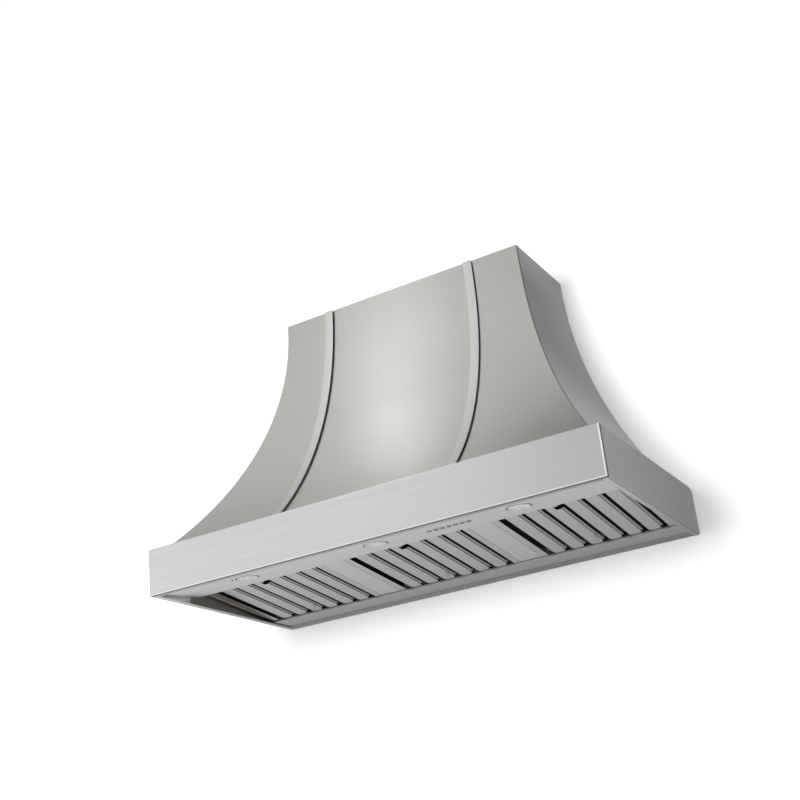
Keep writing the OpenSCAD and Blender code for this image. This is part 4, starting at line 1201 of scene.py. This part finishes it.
for side in ("left", "middle", "right"):
    low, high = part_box(f"lamp_{side}_lens")
    on_panel = (Matrix.Translation((0, panel_low.y, panel_low.z)) @ Matrix.Rotation(panel_tilt, 4, "X")
                @ Matrix.Translation(((low.x + high.x) / 2, lamp_in, 0)))
    bezel = turned(f"lamp_{side}_bezel", lamp_outline(), bezel_chrome, gasket_black)
    bezel.data.transform(on_panel)
    finish_piece(bezel, "hood", "bezel_steel", f"lamp_{side}_body")
    lens = turned(f"lamp_{side}_glass", lens_outline(), frosted_lens)
    lens.data.transform(on_panel)
    finish_piece(lens, "hood", "lens_white", f"lamp_{side}_lens")

# %% [markdown]
# ## The other CAD nodes
# The blower, the duct, the buttons and the screws keep their CAD shape, like the folded sheets
# above. Each could be named in turn, but the part's record already says which material each node
# is of, so the finish is looked up there and a loop dresses them all.

# %% Dress the other nodes
finish_of = {"galvanised": zinc, "motor_paint": motor_paint, "bright_steel": screw_steel,
             "board_green": board_green, "bezel_steel": button_steel}
for part in frame["record"]["subparts"]:
    node_name, slot = part["node"], part["material_slot"]
    if not cad[node_name].hide_render:
        material = dark_screw if node_name == "panel_screw" else finish_of[slot]
        body = cad[node_name].parent.name.split(":")[1]
        dressed_copy(node_name, material, body, slot)

# %% [markdown]
# ## The studio
# The hood hangs on a white wall, which takes its soft shadow, over a pale floor. Both are clear
# from behind, so that the hood's rear and underside can be looked at too. Steel mirrors whatever
# is round it, and a real studio's wall isn't lit as far as the eye goes. Lighting it so would take
# many lamps. Instead the material gives reflections a level of their own, on glossy rays.

# %% Make the wall and the floor
mottle_scale, mottle_shade, matt_rough = 0.7, 0.995, 0.9
low_rate, dimmest, brightest = -3, 0.3, 2


def stage_plane(name, corners, material):
    mesh = bpy.data.meshes.new(name)
    mesh.from_pydata(corners, [], [(0, 1, 2, 3)])
    link_piece(name, mesh, material)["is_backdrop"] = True


def stage_white(name, colour, glow, in_steel, slope=0.0, lift=0.0):
    """White that takes shadows, and is clear from behind.

    The steel sees it evenly, at the level in_steel, less slope for each metre to the right, and
    plus lift below the hood.
    """
    material, tree, shader = new_material(name)
    point = object_point(tree)
    mottle = noise(tree, point, (mottle_scale,) * 3, detail=1.0)
    plug(tree, shader, Base_Color=mix_colour(tree, mottle, shade(colour, mottle_shade), colour))
    shader.inputs["Roughness"].default_value = matt_rough
    shader.inputs["Specular IOR Level"].default_value = 0.0
    path = tree.nodes.new("ShaderNodeLightPath")
    seen = Wire(tree, path.outputs["Is Camera Ray"]).at_least(
        Wire(tree, path.outputs["Is Transmission Ray"]))
    glowing = Wire.node(tree, "ShaderNodeEmission", {}, {"Color": (1, 1, 1, 1), "Strength": seen * glow})
    lit = Wire.node(tree, "ShaderNodeAddShader", {}, {0: Wire(tree, shader.outputs[0]), 1: glowing})
    x, _, z = split(tree, point)
    level = in_steel - x * slope + (z * low_rate).at_least(0).at_most(1) * lift
    level = level.at_least(dimmest * in_steel).at_most(brightest * in_steel)
    mirrored = Wire.node(tree, "ShaderNodeEmission", {}, {"Color": (1, 1, 1, 1), "Strength": level})
    lit = Wire.node(tree, "ShaderNodeMixShader", {}, {
        0: Wire(tree, path.outputs["Is Glossy Ray"]), 1: lit, 2: mirrored})
    behind = Wire.node(tree, "ShaderNodeNewGeometry", out="Backfacing")
    clear = Wire.node(tree, "ShaderNodeBsdfTransparent")
    lit = Wire.node(tree, "ShaderNodeMixShader", {}, {0: behind, 1: lit, 2: clear})
    output = next(n for n in tree.nodes if n.type == "OUTPUT_MATERIAL")
    tree.links.new(lit.socket, output.inputs["Surface"])
    return material


wall_white = stage_white("wall_white", (0.84, 0.84, 0.84), glow=0.18, in_steel=0.40, slope=0.06, lift=0.24)
floor_white = stage_white("floor_white", (0.80, 0.80, 0.79), glow=0.12, in_steel=0.66)
wall_y, floor_z, reach, wall_top = 1 * mm, -1.65, 7.0, 6.0
stage_plane("studio_wall", [(-reach, wall_y, floor_z), (reach, wall_y, floor_z),
                            (reach, wall_y, wall_top), (-reach, wall_y, wall_top)], wall_white)
stage_plane("studio_floor", [(-reach, -reach, floor_z), (reach, -reach, floor_z),
                             (reach, reach, floor_z), (-reach, reach, floor_z)], floor_white)
print("wall and floor reach", reach, "m to each side")

# %% [markdown]
# ## The lamps of the studio
# A soft box in front of the hood, a little left of its middle, gives the wall its soft shadow. It
# isn't mirrored, because its bright square would show in the steel. Two narrow ones, high on the
# left, do the opposite: their reflections draw the streak down the canopy. A weak low one fills the
# left. One big lamp could do all this, but shadow and reflections could then not be set apart.

# %% Make the lamps
def soft_box(name, place, target, width, height, power, mirrored=True):
    data = bpy.data.lights.new(name, "AREA")
    data.shape, data.size, data.size_y, data.energy = "RECTANGLE", width, height, power
    lamp = bpy.data.objects.new(name, data)
    bpy.context.scene.collection.objects.link(lamp)
    lamp.location = place
    lamp.rotation_euler = (Vector(target) - Vector(place)).to_track_quat("-Z", "Z").to_euler()
    lamp.visible_glossy = mirrored
    print(f"{name}: {width} by {height} m, {power} W")


soft_box("key_left", (-0.12, -4.8, 0.35), (0, -0.3, 0.2), width=1.0, height=1.0, power=150, mirrored=False)
soft_box("streak", (-1.57, -3.3, 2.6), (0, -0.4, 0.5), width=0.24, height=2.4, power=2.1)
soft_box("streak_above", (-1.42, -1.2, 3.1), (0, -0.5, 0.1), width=0.24, height=3.2, power=3.3)
soft_box("low_left", (-3.6, -3.6, 0.1), (-0.3, -0.5, 0.1), width=1.4, height=1.2, power=3)

# %% [markdown]
# ## The air of the studio
# Round the hood everything is white, and that lights it from all sides. A picture of a studio
# could stand in for it, but three levels are enough: one for the light itself, pure white for what
# the camera sees past the wall, and one for reflections, brighter towards the upper left.

# %% Light the world
lighting_level, mirrored_drop, mirrored_gain, gain_from = 0.58, 0.06, 0.6, 0.25
bright_side = (-0.85, -0.25, 0.46)

world = bpy.data.worlds.new("studio_air")
bpy.context.scene.world = world
world.use_nodes = True
air = world.node_tree
sky = next(n for n in air.nodes if n.type == "BACKGROUND")
path = air.nodes.new("ShaderNodeLightPath")
plain_view = Wire(air, path.outputs["Is Camera Ray"]).at_least(Wire(air, path.outputs["Is Transmission Ray"]))
mirrored_view = Wire(air, path.outputs["Is Glossy Ray"])
towards = Wire.node(air, "ShaderNodeTexCoord", out="Generated")
facing = Wire.node(air, "ShaderNodeVectorMath", {"operation": "DOT_PRODUCT"},
                   {0: towards, 1: bright_side}, out="Value")
in_mirror = mirrored_view * (facing.at_least(gain_from) * mirrored_gain - mirrored_drop)
level = lighting_level + in_mirror + plain_view * (1 - lighting_level)
sky.inputs["Color"].default_value = (1, 1, 1, 1)
air.links.new(level.socket, sky.inputs["Strength"])
bpy.context.scene.view_settings.view_transform = "Standard"
print("air at", lighting_level, "of white")

# %% [markdown]
# ## The two boxes
# Both boxes, the CAD model's and the visual model's, are printed at the end. The visual
# model has to stay inside the CAD model's box.

# %% Write the sizes and finish
def plain(box):
    return [[round(float(v), 6) for v in corner] for corner in box]


new_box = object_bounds()
{"cad": plain(cad_box), "visual": plain(new_box)}
print("CAD box", plain(cad_box), "visual box", plain(new_box))
